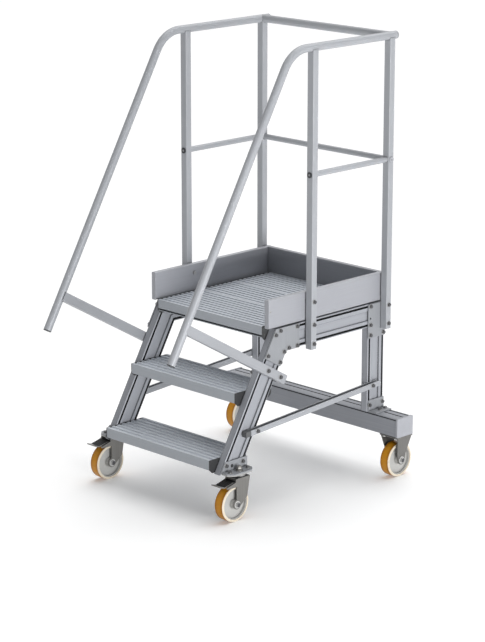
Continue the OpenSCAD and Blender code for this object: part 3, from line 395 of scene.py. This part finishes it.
def makePlastic(name):
    look = plasticWork | plasticLook[name]
    base = look["colour"]
    material, tree, shader, place = newMaterial(name)
    pebble = placeGroup(tree, mouldedPebble, {"Vector": place.outputs["Object"]}, Scale=look["pebble"])
    marks = placeGroup(tree, handlingMarks, {
        "Vector": place.outputs["Object"], "Normal": place.outputs["Normal"]})
    edges = placeGroup(tree, edgesAndPaintedShade, {}, Radius=look["edgeRadius"])
    blotched = addMath(tree, "MULTIPLY", pebble.outputs["Blotch"], look["blotchShare"])
    colour = addMix(tree, blotched, base, scaled(base, look["blotchShade"]))
    scuffed = addMath(tree, "MULTIPLY", marks.outputs["Scuffs"], look["scuffShare"])
    pale = tuple(min(1.0, c * look["paleTimes"] + look["paleAdd"]) for c in base)
    colour = addMix(tree, scuffed, colour, pale)
    # edges painted pale: rubbed plastic and a painted edge highlight
    rubbedAndLit = addMath(tree, "MULTIPLY", edges.outputs["EdgeWearAndHighlight"], look["edgeWearAndHighlightShare"])
    colour = addMix(tree, rubbedAndLit, colour, pale)
    # painted shade in hollows and where pieces meet
    shadeMask = addMath(tree, "MAXIMUM", edges.outputs["PaintedRecessShade"], edges.outputs["PaintedJointShade"])
    paintedShadeMask = addMath(tree, "MULTIPLY", shadeMask, look["paintedShadeShare"])
    colour = addMix(tree, paintedShadeMask, colour, scaled(base, look["paintedShadeTone"]))
    tree.links.new(colour, shader.inputs["Base Color"])
    shader.inputs["Specular IOR Level"].default_value = look["spec"]
    rough = addMath(tree, "MULTIPLY_ADD", pebble.outputs["Blotch"], look["blotchRough"])
    rough.node.inputs[2].default_value = look["rough"]
    tree.links.new(rough, shader.inputs["Roughness"])
    addBump(tree, shader, pebble.outputs["Height"], look["bump"], look["bumpDeep"], edges.outputs["Normal"])
    return material


tyreLook = {
    "amber": (0.58, 0.25, 0.012), "shade": (0.36, 0.13, 0.006), "edge": (0.76, 0.68, 0.55),
    "rough": 0.36, "spec": 0.25, "pebble": 500.0, "edgeRadius": 0.0015, "warm": 1.15,
    "middle": 0.5, "turnRange": (0.25, 0.6), "sideRange": (0.42, 0.465), "shadeRange": (0.12, 0.48),
    "wornShare": 0.5, "wornShade": 0.9, "scuffShare": 0.3, "scuffColour": (0.12, 0.09, 0.06),
    "scuffRough": 0.2, "bump": 0.15, "bumpDeep": 0.0003}


def makeTyre():
    # amber running face, with painted shade darkening it towards its two edges, and pale sides
    look = tyreLook
    material, tree, shader, place = newMaterial("amberTread")
    split = addNode(tree, "ShaderNodeSeparateXYZ")
    tree.links.new(place.outputs["Normal"], split.inputs[0])
    turned = addRange(tree, addMath(tree, "ABSOLUTE", split.outputs["X"]), *look["turnRange"])
    across = addNode(tree, "ShaderNodeSeparateXYZ")
    tree.links.new(place.outputs["Generated"], across.inputs[0])
    offMiddle = addMath(tree, "ABSOLUTE", addMath(tree, "SUBTRACT", across.outputs["X"], look["middle"]))
    side = addMath(tree, "MAXIMUM", turned, addRange(tree, offMiddle, *look["sideRange"]))
    pebble = placeGroup(tree, mouldedPebble, {"Vector": place.outputs["Object"]}, Scale=look["pebble"])
    marks = placeGroup(tree, handlingMarks, {
        "Vector": place.outputs["Object"], "Normal": place.outputs["Normal"]})
    edges = placeGroup(tree, edgesAndPaintedShade, {}, Radius=look["edgeRadius"])
    amber = addMix(tree, pebble.outputs["Blotch"], look["amber"], scaled(look["amber"], look["warm"]))
    # painted shade, darker towards the two edges of the running face
    amber = addMix(tree, addRange(tree, offMiddle, *look["shadeRange"]), amber, look["shade"])
    worn = addMath(tree, "MULTIPLY", pebble.outputs["Blotch"], look["wornShare"])
    edge = addMix(tree, worn, look["edge"], scaled(look["edge"], look["wornShade"]))
    colour = addMix(tree, side, amber, edge)
    scuffed = addMath(tree, "MULTIPLY", marks.outputs["Scuffs"], look["scuffShare"])
    colour = addMix(tree, scuffed, colour, look["scuffColour"])
    tree.links.new(colour, shader.inputs["Base Color"])
    rough = addMath(tree, "MULTIPLY_ADD", marks.outputs["Scuffs"], look["scuffRough"])
    rough.node.inputs[2].default_value = look["rough"]
    tree.links.new(rough, shader.inputs["Roughness"])
    shader.inputs["Specular IOR Level"].default_value = look["spec"]
    addBump(tree, shader, pebble.outputs["Height"], look["bump"], look["bumpDeep"], edges.outputs["Normal"])
    return material


finishes = {}


def finishFor(key):
    if key not in finishes:
        kind, turn = key
        if kind == "tyre":
            finishes[key] = makeTyre()
        elif kind in plasticLook:
            finishes[key] = makePlastic(kind)
        else:
            finishes[key] = makeMetal(kind, turn)
    return finishes[key]


nodeFinish = {
    ("profile", "onSlope"): ["stringer_left", "stringer_right"],
    ("profile", "alongY"): ["side_beam_left", "side_beam_right"],
    ("profile", "alongZ"): ["rear_leg_left", "rear_leg_right"],
    ("beam", "alongX"): ["base_beam"],
    ("paleCap", ""): ["base_beam_caps"],
    ("plank", "alongX"): [
        "lower_tread", "upper_tread", "deck_plank_front", "deck_plank_middle", "deck_plank_rear"],
    ("blackPlastic", ""): ["tread_caps"],
    ("deckCap", ""): ["deck_caps"],
    ("darkPlug", ""): ["brace_plugs"],
    ("board", "alongY"): ["toe_board_left", "toe_board_right"],
    ("shadedBoard", "alongX"): ["toe_board_rear"],
    ("tube", "alongZ"): ["front_post_left", "front_post_right", "rear_post_left", "rear_post_right"],
    ("tube", "onSlope"): ["handrail_left", "handrail_right"],
    ("tube", "alongX"): ["rear_top_rail", "knee_rail_rear"],
    ("tube", "alongY"): ["knee_rail_left", "knee_rail_right", "brace_left", "brace_right"],
    ("arm", "acrossSlope"): ["handrail_arm_left", "handrail_arm_right"],
    ("greyPlug", ""): ["rail_plugs"],
    ("plate", "alongZ"): ["gusset_plates", "corner_plates", "castor_hangers", "foot_angles", "post_spacers"],
    ("zinc", "alongZ"): ["frame_bolts", "front_castor_plate_left", "front_castor_plate_right"],
    ("axle", "alongZ"): ["front_axle_left", "front_axle_right", "rear_axles"],
    ("fork", "alongZ"): ["front_fork_left", "front_fork_right", "brake_pedal_left", "brake_pedal_right"],
    ("shadedFork", "alongZ"): ["rear_fork_left", "rear_fork_right"],
    ("wheelCore", ""): ["front_wheel_left", "front_wheel_right", "rear_wheel_left", "rear_wheel_right"],
    ("tyre", ""): ["front_tyre_left", "front_tyre_right", "rear_tyre_left", "rear_tyre_right"],
}
for key, names in nodeFinish.items():
    for name in names:
        nodes[name].data.materials.clear()
        nodes[name].data.materials.append(finishFor(key))
unpainted = sorted(set(nodes) - {name for names in nodeFinish.values() for name in names})
print("finishes set:", len(finishes), "left plain:", unpainted)


# bolts: dark heads on bright washers, found solid by solid
boltLook = {
    "headHigh": 0.005, "axleHeadHigh": 0.0009, "flatArea": 7e-5, "brightBelow": 0.16,
    "facing": 0.9, "onTip": 1e-4, "slack": 2e-4}


def solidsOf(mesh):
    # the faces of each solid, joined where they share a corner
    digits = 5
    owner = list(range(len(mesh.polygons)))

    def rootOf(index):
        while owner[index] != index:
            owner[index] = owner[owner[index]]
            index = owner[index]
        return index

    firstAt = {}
    for face in mesh.polygons:
        for corner in face.vertices:
            spot = tuple(round(c, digits) for c in mesh.vertices[corner].co)
            owner[rootOf(face.index)] = rootOf(firstAt.setdefault(spot, face.index))
    solids = {}
    for face in mesh.polygons:
        solids.setdefault(rootOf(face.index), []).append(face)
    return list(solids.values())


def paintHeads(name, headHigh):
    mesh = nodes[name].data
    mesh.materials.append(finishFor(("bolt", "alongZ")))
    for solid in solidsOf(mesh):
        corners = [mesh.vertices[i].co for face in solid for i in face.vertices]
        if sum(c.z for c in corners) / len(corners) < boltLook["brightBelow"] and name == "frame_bolts":
            continue  # plated castor bolts stay bright
        for axis, sign in ((0, -1), (0, 1), (1, -1), (1, 1), (2, -1), (2, 1)):
            tip = max(sign * c[axis] for c in corners)
            top = [face for face in solid if sign * face.normal[axis] > boltLook["facing"]]
            onTip = sum(face.area for face in top if tip - sign * face.center[axis] < boltLook["onTip"])
            inward = name == "frame_bolts" and axis == 0 and sign * sum(c.x for c in corners) < 0
            if onTip < boltLook["flatArea"] or inward:
                continue
            for face in solid:
                if tip - sign * face.center[axis] < headHigh - boltLook["slack"]:
                    face.material_index = 1


paintHeads("frame_bolts", boltLook["headHigh"])
for axleName in ("front_axle_left", "front_axle_right", "rear_axles"):
    paintHeads(axleName, boltLook["axleHeadHigh"])


# slots of the profiles: deep shade on their floors and walls
slotLook = {
    "lip": 0.0033, "deep": 0.006, "rim": 0.0005, "beamDeep": 0.0062, "square": 0.98, "flat": 0.9,
    "slopeWall": (0.0, -math.cos(slope), math.sin(slope))}


def paintSlots(name, across):
    mesh = nodes[name].data
    mesh.materials.append(finishFor(("slotShade", "alongZ")))
    mesh.materials.append(finishFor(("beam", "onSlope")))
    middle, half = middleOf(name).x, sizeOf(name).x / 2
    for face in mesh.polygons:
        offsets = [mesh.vertices[i].co.x - middle for i in face.vertices]
        oneSide = min(offsets) > 0 or max(offsets) < 0
        near, far = min(abs(v) for v in offsets), max(abs(v) for v in offsets)
        inSlot = near > half - slotLook["lip"] or far < half - slotLook["deep"] / 2
        wall = oneSide and inSlot and abs(face.normal.dot(Vector(across))) > slotLook["square"]
        floor = far < half - slotLook["deep"] and abs(face.normal.x) > slotLook["flat"]
        if wall or floor:
            face.material_index = 1
        elif not oneSide and face.normal.dot(Vector(slotLook["slopeWall"])) > slotLook["square"]:
            face.material_index = 2  # the stringers' front edges, painted darker: painted shade


def paintGrooves():
    mesh = nodes["base_beam"].data
    mesh.materials.append(finishFor(("slotShade", "alongZ")))
    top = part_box("base_beam")[1].z
    for face in mesh.polygons:
        drops = [top - mesh.vertices[i].co.z for i in face.vertices]
        floor = face.normal.z > slotLook["flat"] and min(drops) > slotLook["rim"]
        wall = abs(face.normal.y) > slotLook["flat"]
        if (floor or wall) and max(drops) < slotLook["beamDeep"]:
            face.material_index = 1


for side in ("left", "right"):
    paintSlots("stringer_" + side, slotLook["slopeWall"])
    paintSlots("side_beam_" + side, (0.0, 0.0, 1.0))
    paintSlots("rear_leg_" + side, (0.0, 1.0, 0.0))
paintGrooves()
print("slots shaded")


# plank tops: the rib tops painted lighter, as painted light
plankLook = {"ribDeep": 0.0045, "topUp": 0.5, "ribSide": 0.9}


def paintTops(name, kind):
    mesh = nodes[name].data
    mesh.materials.append(finishFor((kind, "alongX")))
    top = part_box(name)[1].z
    for face in mesh.polygons:
        drop = max(top - mesh.vertices[i].co.z for i in face.vertices)
        onRibs = face.normal.z > plankLook["topUp"] or abs(face.normal.y) > plankLook["ribSide"]
        if onRibs and drop < plankLook["ribDeep"]:
            face.material_index = 1


for name in ("lower_tread", "upper_tread"):
    paintTops(name, "treadTopLit")
for name in ("deck_plank_front", "deck_plank_middle", "deck_plank_rear"):
    paintTops(name, "deckTopLit")
print("plank tops painted")


# brake pedals: black grip moulded on the tread of a pressed steel lever
pedalLook = {"pinBack": 0.006, "treadLong": 0.058, "treadUp": 0.3, "endOn": 0.8}


def paintPedal(side):
    name = "brake_pedal_" + side
    mesh = nodes[name].data
    mesh.materials.append(finishFor(("pedalGrip", "")))
    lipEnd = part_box(name)[1].y - pedalLook["pinBack"] - pedalLook["treadLong"]
    for face in mesh.polygons:
        trodden = face.normal.z > pedalLook["treadUp"] or face.normal.y > pedalLook["endOn"]
        if trodden and face.center.y > lipEnd:
            face.material_index = 1


# castor forks: painted shade on the race on top and on the faces turned to the wheel
forkLook = {"crownHigh": 0.0185, "crownUp": 0.8, "inward": 0.6}


def paintCrown(side):
    name = "front_fork_" + side
    mesh = nodes[name].data
    mesh.materials.append(finishFor(("slotShade", "alongZ")))
    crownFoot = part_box(name)[1].z - forkLook["crownHigh"]
    for face in mesh.polygons:
        if face.normal.z > forkLook["crownUp"] and face.center.z > crownFoot:
            face.material_index = 1


def paintForkInside(name):
    mesh = nodes[name].data
    mesh.materials.append(finishFor(("forkInsideShade", "alongZ")))
    middle = middleOf(name).x
    for face in mesh.polygons:
        if face.normal.x * (face.center.x - middle) < 0 and abs(face.normal.x) > forkLook["inward"]:
            face.material_index = len(mesh.materials) - 1


for side in ("left", "right"):
    paintPedal(side)
    paintCrown(side)
    paintForkInside("front_fork_" + side)
    paintForkInside("rear_fork_" + side)
print("bolts, pedals and forks painted")


# rail joints, from the boxes of the tubes that meet there
railPlace = {
    "x": middleOf("front_post_right").x, "z": middleOf("rear_top_rail").z, "r": sizeOf("rear_top_rail").z / 2,
    "frontY": middleOf("front_post_right").y, "rearY": middleOf("rear_post_right").y,
    "postWide": sizeOf("front_post_right").x, "postDeep": sizeOf("front_post_right").y, "postRound": 0.002,
    "postTop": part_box("front_post_right")[1].z,
    "kneeZ": middleOf("knee_rail_rear").z, "kneeR": sizeOf("knee_rail_rear").z / 2}


# rail plugs: in the knee rails dark in front and pale behind, each with a rivet, and dark in the grips' ends
plugLook = {
    "kneeReach": 0.025, "rivetR": 0.0036, "rivetHigh": 0.0014, "rivetSeat": 0.0004, "rivetSides": 24,
    "dome": ((1.0, 0.35), (0.9, 0.7), (0.62, 0.93), (0.3, 1.0))}


def paintPlugs():
    mesh = nodes["rail_plugs"].data
    mesh.materials.append(finishFor(("kneePlug", "")))
    mesh.materials.append(finishFor(("paleCap", "")))
    midway = (railPlace["frontY"] + railPlace["rearY"]) / 2
    for face in mesh.polygons:
        rise = face.center.z - railPlace["kneeZ"]
        if abs(rise) < plugLook["kneeReach"] and face.center.y > midway:
            face.material_index = 2
        elif rise < plugLook["kneeReach"]:
            face.material_index = 1


paintPlugs()
print("rail plugs painted")


# detail pieces in mesh code

def newPiece(name, shape, finish, body):
    mesh = bpy.data.meshes.new(name)
    shape.to_mesh(mesh)
    shape.free()
    mesh.shade_smooth()
    piece = bpy.data.objects.new(name, mesh)
    bpy.context.scene.collection.objects.link(piece)
    mesh.materials.append(finish)
    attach(piece, body)
    return piece


def guideFor(axis, other):
    # a direction that isn't near the axis, to set out a ring by
    steep = 0.9
    return Vector((0, 0, 1)) if abs(axis.z) < steep else Vector(other)


def spaced(path, step):
    # the same closed path at even steps
    fewest, least = 6, 1e-9
    loop = path + path[:1]
    lengths = [(b - a).length for a, b in zip(loop, loop[1:])]
    total = sum(lengths)
    count = max(fewest, round(total / step))
    result = []
    for i in range(count):
        left = total * i / count
        k = 0
        while k < len(lengths) - 1 and left > lengths[k]:
            left -= lengths[k]
            k += 1
        result.append(loop[k].lerp(loop[k + 1], min(1.0, left / max(lengths[k], least))))
    return result


weldLook = {
    "thick": 0.0021, "ripple": 0.16, "pitch": 0.0034, "stepsPerPitch": 4, "sides": 7,
    "kneeSteps": 24, "railSteps": 36, "cornerSteps": 4, "seatShare": 0.95, "seatUp": 0.0005}


def addBead(shape, path):
    # a weld run: a bead that swells at each dip of the rod
    sides, stepsPerPitch = weldLook["sides"], weldLook["stepsPerPitch"]
    points = spaced(path, weldLook["pitch"] / stepsPerPitch)
    count = len(points)
    rings = []
    for i, point in enumerate(points):
        along = (points[(i + 1) % count] - points[i - 1]).normalized()
        across = along.cross(guideFor(along, (1, 0, 0))).normalized()
        upward = across.cross(along)
        radius = weldLook["thick"] * (1 + weldLook["ripple"] * math.cos(2 * math.pi * i / stepsPerPitch))
        ring = []
        for k in range(sides):
            turn = 2 * math.pi * k / sides
            ring.append(shape.verts.new(point + radius * (math.cos(turn) * across + math.sin(turn) * upward)))
        rings.append(ring)
    for i in range(count):
        a, b = rings[i], rings[(i + 1) % count]
        shift = 0
        if i == count - 1:  # the last ring meets the first at its nearest corner
            shift = min(range(sides), key=lambda k: (a[0].co - b[k].co).length)
        for k in range(sides):
            near = (a[k], a[(k + 1) % sides])
            far = (b[(k + 1 + shift) % sides], b[(k + shift) % sides])
            shape.faces.new(near + far)


def postOutline():
    half = (railPlace["postWide"] / 2, railPlace["postDeep"] / 2)
    inset = railPlace["postRound"]
    result = []
    for sx, sy, start in ((1, 1, 0), (-1, 1, 90), (-1, -1, 180), (1, -1, 270)):
        for step in range(weldLook["cornerSteps"]):
            turn = math.radians(start + 90 * step / (weldLook["cornerSteps"] - 1))
            result.append((sx * (half[0] - inset) + inset * math.cos(turn),
                           sy * (half[1] - inset) + inset * math.sin(turn)))
    return result


def ringAt(middle, radius, flat):
    # a circle square to the axis named in flat
    result = []
    for step in range(weldLook["kneeSteps"]):
        turn = 2 * math.pi * step / weldLook["kneeSteps"]
        c, d = radius * math.cos(turn), radius * math.sin(turn)
        result.append(Vector(middle) + (Vector((0, c, d)) if flat == "x" else Vector((c, 0, d))))
    return result


def makeRailWelds():
    shape = bmesh.new()
    r, seat = railPlace["r"], railPlace["postTop"] + weldLook["seatUp"]
    for side in (-1, 1):
        x = side * railPlace["x"]
        for y in (railPlace["frontY"], railPlace["rearY"]):  # post tops under the handrail
            path = []
            for dx, dy in postOutline():
                rise = railPlace["z"] - math.sqrt(max(0.0, r * r - dx * dx))
                path.append(Vector((x + weldLook["seatShare"] * dx, y + dy, min(rise, seat))))
            addBead(shape, path)
        path = []
        for step in range(weldLook["railSteps"]):  # rear top rail against the handrail
            turn = 2 * math.pi * step / weldLook["railSteps"]
            y = railPlace["rearY"] + r * math.cos(turn)
            rise = min(r * math.sin(turn), r - weldLook["thick"] * (1 + weldLook["ripple"]))
            path.append(Vector((x - side * r * abs(math.cos(turn)), y, railPlace["z"] + rise)))
        addBead(shape, path)
        reach = railPlace["postDeep"] / 2
        for y in (railPlace["frontY"] + reach, railPlace["rearY"] - reach):  # knee rails at the posts
            addBead(shape, ringAt((x, y, railPlace["kneeZ"]), railPlace["kneeR"], "y"))
        inner = x - side * railPlace["postWide"] / 2
        addBead(shape, ringAt((inner, railPlace["rearY"], railPlace["kneeZ"]), railPlace["kneeR"], "x"))
    newPiece("railWelds", shape, finishFor(("weld", "alongZ")), "frame")


screwLook = {
    "fromFront": 0.009, "fromFoot": 0.059, "r": 0.0042,
    "high": 0.0022, "cross": 0.0011, "deep": 0.0009, "crossShare": 0.7, "crown": 4,
    "sides": 32, "shares": (1.0, 0.97, 0.82, 0.6, 0.42, 0.22)}


def makeBoardScrews():
    # pan heads with a cross recess near the front ends of the side boards
    shape = bmesh.new()
    count = screwLook["sides"]
    low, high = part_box("toe_board_right")
    seat = (high.x, low.y + screwLook["fromFront"], low.z + screwLook["fromFoot"])
    for side in (-1, 1):
        rings = []
        for share in screwLook["shares"]:
            ring = []
            for k in range(count):
                turn = 2 * math.pi * k / count
                c, d = screwLook["r"] * share * math.cos(turn), screwLook["r"] * share * math.sin(turn)
                rise = screwLook["high"] * (1 - share ** screwLook["crown"])
                if share < screwLook["crossShare"] and min(abs(c), abs(d)) < screwLook["cross"] / 2:
                    rise -= screwLook["deep"]
                ring.append(shape.verts.new((side * (seat[0] + rise), seat[1] + c, seat[2] + d)))
            rings.append(ring)
        for a, b in zip(rings, rings[1:]):
            for k in range(count):
                corners = (a[k], a[(k + 1) % count], b[(k + 1) % count], b[k])
                shape.faces.new(corners if side > 0 else corners[::-1])
        shape.faces.new(rings[-1] if side > 0 else rings[-1][::-1])
    newPiece("boardScrews", shape, finishFor(("zinc", "alongZ")), "frame")


def addTurned(shape, middle, axis, steps, sides):
    # a turned solid from (radius, height) steps, closed at both ends
    across = axis.cross(guideFor(axis, (0, 1, 0))).normalized()
    upward = axis.cross(across)
    rings = []
    for radius, height in steps:
        ring = []
        for k in range(sides):
            turn = 2 * math.pi * k / sides
            out = math.cos(turn) * across + math.sin(turn) * upward
            ring.append(shape.verts.new(middle + height * axis + radius * out))
        rings.append(ring)
    for a, b in zip(rings, rings[1:]):
        for k in range(sides):
            shape.faces.new((a[k], a[(k + 1) % sides], b[(k + 1) % sides], b[k]))
    shape.faces.new(rings[0][::-1])
    shape.faces.new(rings[-1])


def castorSeat(side):
    # the middle of a front castor plate's top
    name = "front_castor_plate_" + side
    seat = middleOf(name)
    seat.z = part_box(name)[1].z
    return seat


# each table gives radius and height above the castor plate
nutLook = {
    "roundSides": 32, "nutSides": 6, "collarSides": 24, "sharp": 35,
    "washer": ((0.0125, 0.0), (0.0125, 0.00176), (0.012, 0.0022)),
    "nut": ((0.01026, 0.0022), (0.0108, 0.0030), (0.0108, 0.0107), (0.010044, 0.0117)),
    "collar": (
        (0.0082, 0.0117), (0.0082, 0.0135), (0.00697, 0.0147), (0.0055, 0.0147), (0.0055, 0.0157),
        (0.0044, 0.0165))}


def makeCastorNuts():
    # lock nuts on the front castors' king pins
    shape = bmesh.new()
    look = nutLook
    up = Vector((0, 0, 1))
    for side in ("left", "right"):
        seat = castorSeat(side)
        addTurned(shape, seat, up, look["washer"], look["roundSides"])
        addTurned(shape, seat, up, look["nut"], look["nutSides"])
        addTurned(shape, seat, up, look["collar"], look["collarSides"])
    bmesh.ops.recalc_face_normals(shape, faces=shape.faces)
    piece = newPiece("castorNuts", shape, finishFor(("fork", "alongZ")), "frame")
    piece.data.set_sharp_from_angle(angle=math.radians(look["sharp"]))


capLook = {
    "web": 0.004, "ahead": 0.0135, "up": 0.0135, "r": 0.0058, "high": 0.0032, "sides": 28,
    "dome": ((1.0, 0.0), (1.0, 0.3), (0.93, 0.62), (0.75, 0.86), (0.4, 1.0))}


def makeBracketCaps():
    # domed black caps on the outer faces of the castor hangers
    shape = bmesh.new()
    look = capLook
    steps = [(look["r"] * wide, look["high"] * up) for wide, up in look["dome"]]
    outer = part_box("stringer_right")[1].x + look["web"]
    seat = castorSeat("right")
    for side in (-1, 1):
        place = Vector((side * outer, seat.y - look["ahead"], seat.z + look["up"]))
        addTurned(shape, place, Vector((side, 0, 0)), steps, look["sides"])
    bmesh.ops.recalc_face_normals(shape, faces=shape.faces)
    newPiece("bracketCaps", shape, finishFor(("blackPlastic", "")), "frame")


def makePlugRivets():
    # domed rivets in the plugs of the knee rails
    shape = bmesh.new()
    look = plugLook
    r, high, sides = look["rivetR"], look["rivetHigh"], look["rivetSides"]
    steps = [(r, -look["rivetSeat"])] + [(r * wide, high * up) for wide, up in look["dome"]]
    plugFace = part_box("rail_plugs")[1].x
    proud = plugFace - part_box("rear_post_right")[1].x
    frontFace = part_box("front_post_right")[0].y - proud
    for side in (-1, 1):
        front = Vector((side * railPlace["x"], frontFace, railPlace["kneeZ"]))
        rear = Vector((side * plugFace, railPlace["rearY"], railPlace["kneeZ"]))
        addTurned(shape, front, Vector((0, -1, 0)), steps, sides)
        addTurned(shape, rear, Vector((side, 0, 0)), steps, sides)
    bmesh.ops.recalc_face_normals(shape, faces=shape.faces)
    newPiece("plugRivets", shape, finishFor(("plugRivet", "alongZ")), "frame")


makeRailWelds()
makeBoardScrews()
makePlugRivets()
makeCastorNuts()
makeBracketCaps()
print("detail pieces made")


# floor, light and camera
studio = {
    "floorSize": 60.0, "floorColour": 0.95, "floorGlow": 0.175,
    "worldLight": 0.15, "worldColour": (0.985, 0.992, 1.0),
    "sunFrom": (-0.13, 0.38, 0.915), "sunPower": 2.58, "sunSpread": 70.0,
    "sidePlace": (5.80, -1.55, 0.6), "sideWide": 3.0, "sideHigh": 1.0, "sidePower": 275.0,
    "aim": (0.0, 0.0, 0.6), "sunAway": 6.0,
}


def seenDirectly(tree):
    # 1 for what the camera sees, also by way of gloss and glass
    path = tree.nodes.new("ShaderNodeLightPath")
    seen = addMath(tree, "MAXIMUM", path.outputs["Is Camera Ray"], path.outputs["Is Glossy Ray"])
    return addMath(tree, "MAXIMUM", seen, path.outputs["Is Transmission Ray"])


def chooseShader(tree, factor, without, within, output):
    choose = tree.nodes.new("ShaderNodeMixShader")
    for index, socket in enumerate((factor, without.outputs[0], within.outputs[0])):
        tree.links.new(socket, choose.inputs[index])
    tree.links.new(choose.outputs[0], output.inputs[0])


def makeFloor():
    mesh = bpy.data.meshes.new("studioFloor")
    half = studio["floorSize"] / 2
    corners = [(-half, -half, 0), (half, -half, 0), (half, half, 0), (-half, half, 0)]
    mesh.from_pydata(corners, [], [(0, 1, 2, 3)])
    floor = bpy.data.objects.new("studioFloor", mesh)
    bpy.context.scene.collection.objects.link(floor)
    material = bpy.data.materials.new("studioFloor")
    material.use_nodes = True
    tree = material.node_tree
    tree.nodes.clear()
    output = tree.nodes.new("ShaderNodeOutputMaterial")
    paper = addNode(tree, "ShaderNodeBsdfDiffuse", Color=(studio["floorColour"],) * 3 + (1.0,))
    glow = addNode(tree, "ShaderNodeEmission", Strength=studio["floorGlow"])
    both = tree.nodes.new("ShaderNodeAddShader")
    tree.links.new(paper.outputs[0], both.inputs[0])
    tree.links.new(glow.outputs[0], both.inputs[1])
    chooseShader(tree, seenDirectly(tree), paper, both, output)
    mesh.materials.append(material)


def makeWorld():
    world = bpy.data.worlds.new("studioWorld")
    world.use_nodes = True
    tree = world.node_tree
    tree.nodes.clear()
    output = tree.nodes.new("ShaderNodeOutputWorld")
    light = addNode(tree, "ShaderNodeBackground", Strength=studio["worldLight"],
                    Color=studio["worldColour"] + (1.0,))
    white = addNode(tree, "ShaderNodeBackground", Color=(1, 1, 1, 1), Strength=1.0)
    chooseShader(tree, seenDirectly(tree), light, white, output)
    bpy.context.scene.world = world


def addLamp(name, kind, place, **settings):
    lamp = bpy.data.lights.new(name, kind)
    for key, value in settings.items():
        setattr(lamp, key, value)
    holder = bpy.data.objects.new(name, lamp)
    bpy.context.scene.collection.objects.link(holder)
    holder.location = place
    holder.rotation_euler = (Vector(studio["aim"]) - holder.location).to_track_quat("-Z", "Y").to_euler()


def makeLamps():
    high = Vector(studio["aim"]) + studio["sunAway"] * Vector(studio["sunFrom"])
    addLamp("skyLamp", "SUN", high, energy=studio["sunPower"], angle=math.radians(studio["sunSpread"]))
    addLamp("sideLamp", "AREA", studio["sidePlace"], shape="RECTANGLE", size=studio["sideWide"],
            size_y=studio["sideHigh"], energy=studio["sidePower"])


viewpoint = {
    "place": (5.67895, -5.56452, 2.73387), "tilt": 74.894, "turn": 45.063,
    "lens": 88.27, "sensor": 24.0, "farEnd": 100.0}


def makeCamera():
    camera = bpy.data.cameras.new("photoCamera")
    camera.sensor_fit = "VERTICAL"
    camera.sensor_height = viewpoint["sensor"]
    camera.lens = viewpoint["lens"]
    camera.clip_end = viewpoint["farEnd"]
    holder = bpy.data.objects.new("photoCamera", camera)
    bpy.context.scene.collection.objects.link(holder)
    holder.location = viewpoint["place"]
    holder.rotation_euler = (math.radians(viewpoint["tilt"]), 0.0, math.radians(viewpoint["turn"]))
    bpy.context.scene.camera = holder


makeFloor()
makeWorld()
makeLamps()
makeCamera()
bpy.context.scene.view_settings.view_transform = "Standard"
print("studio ready")
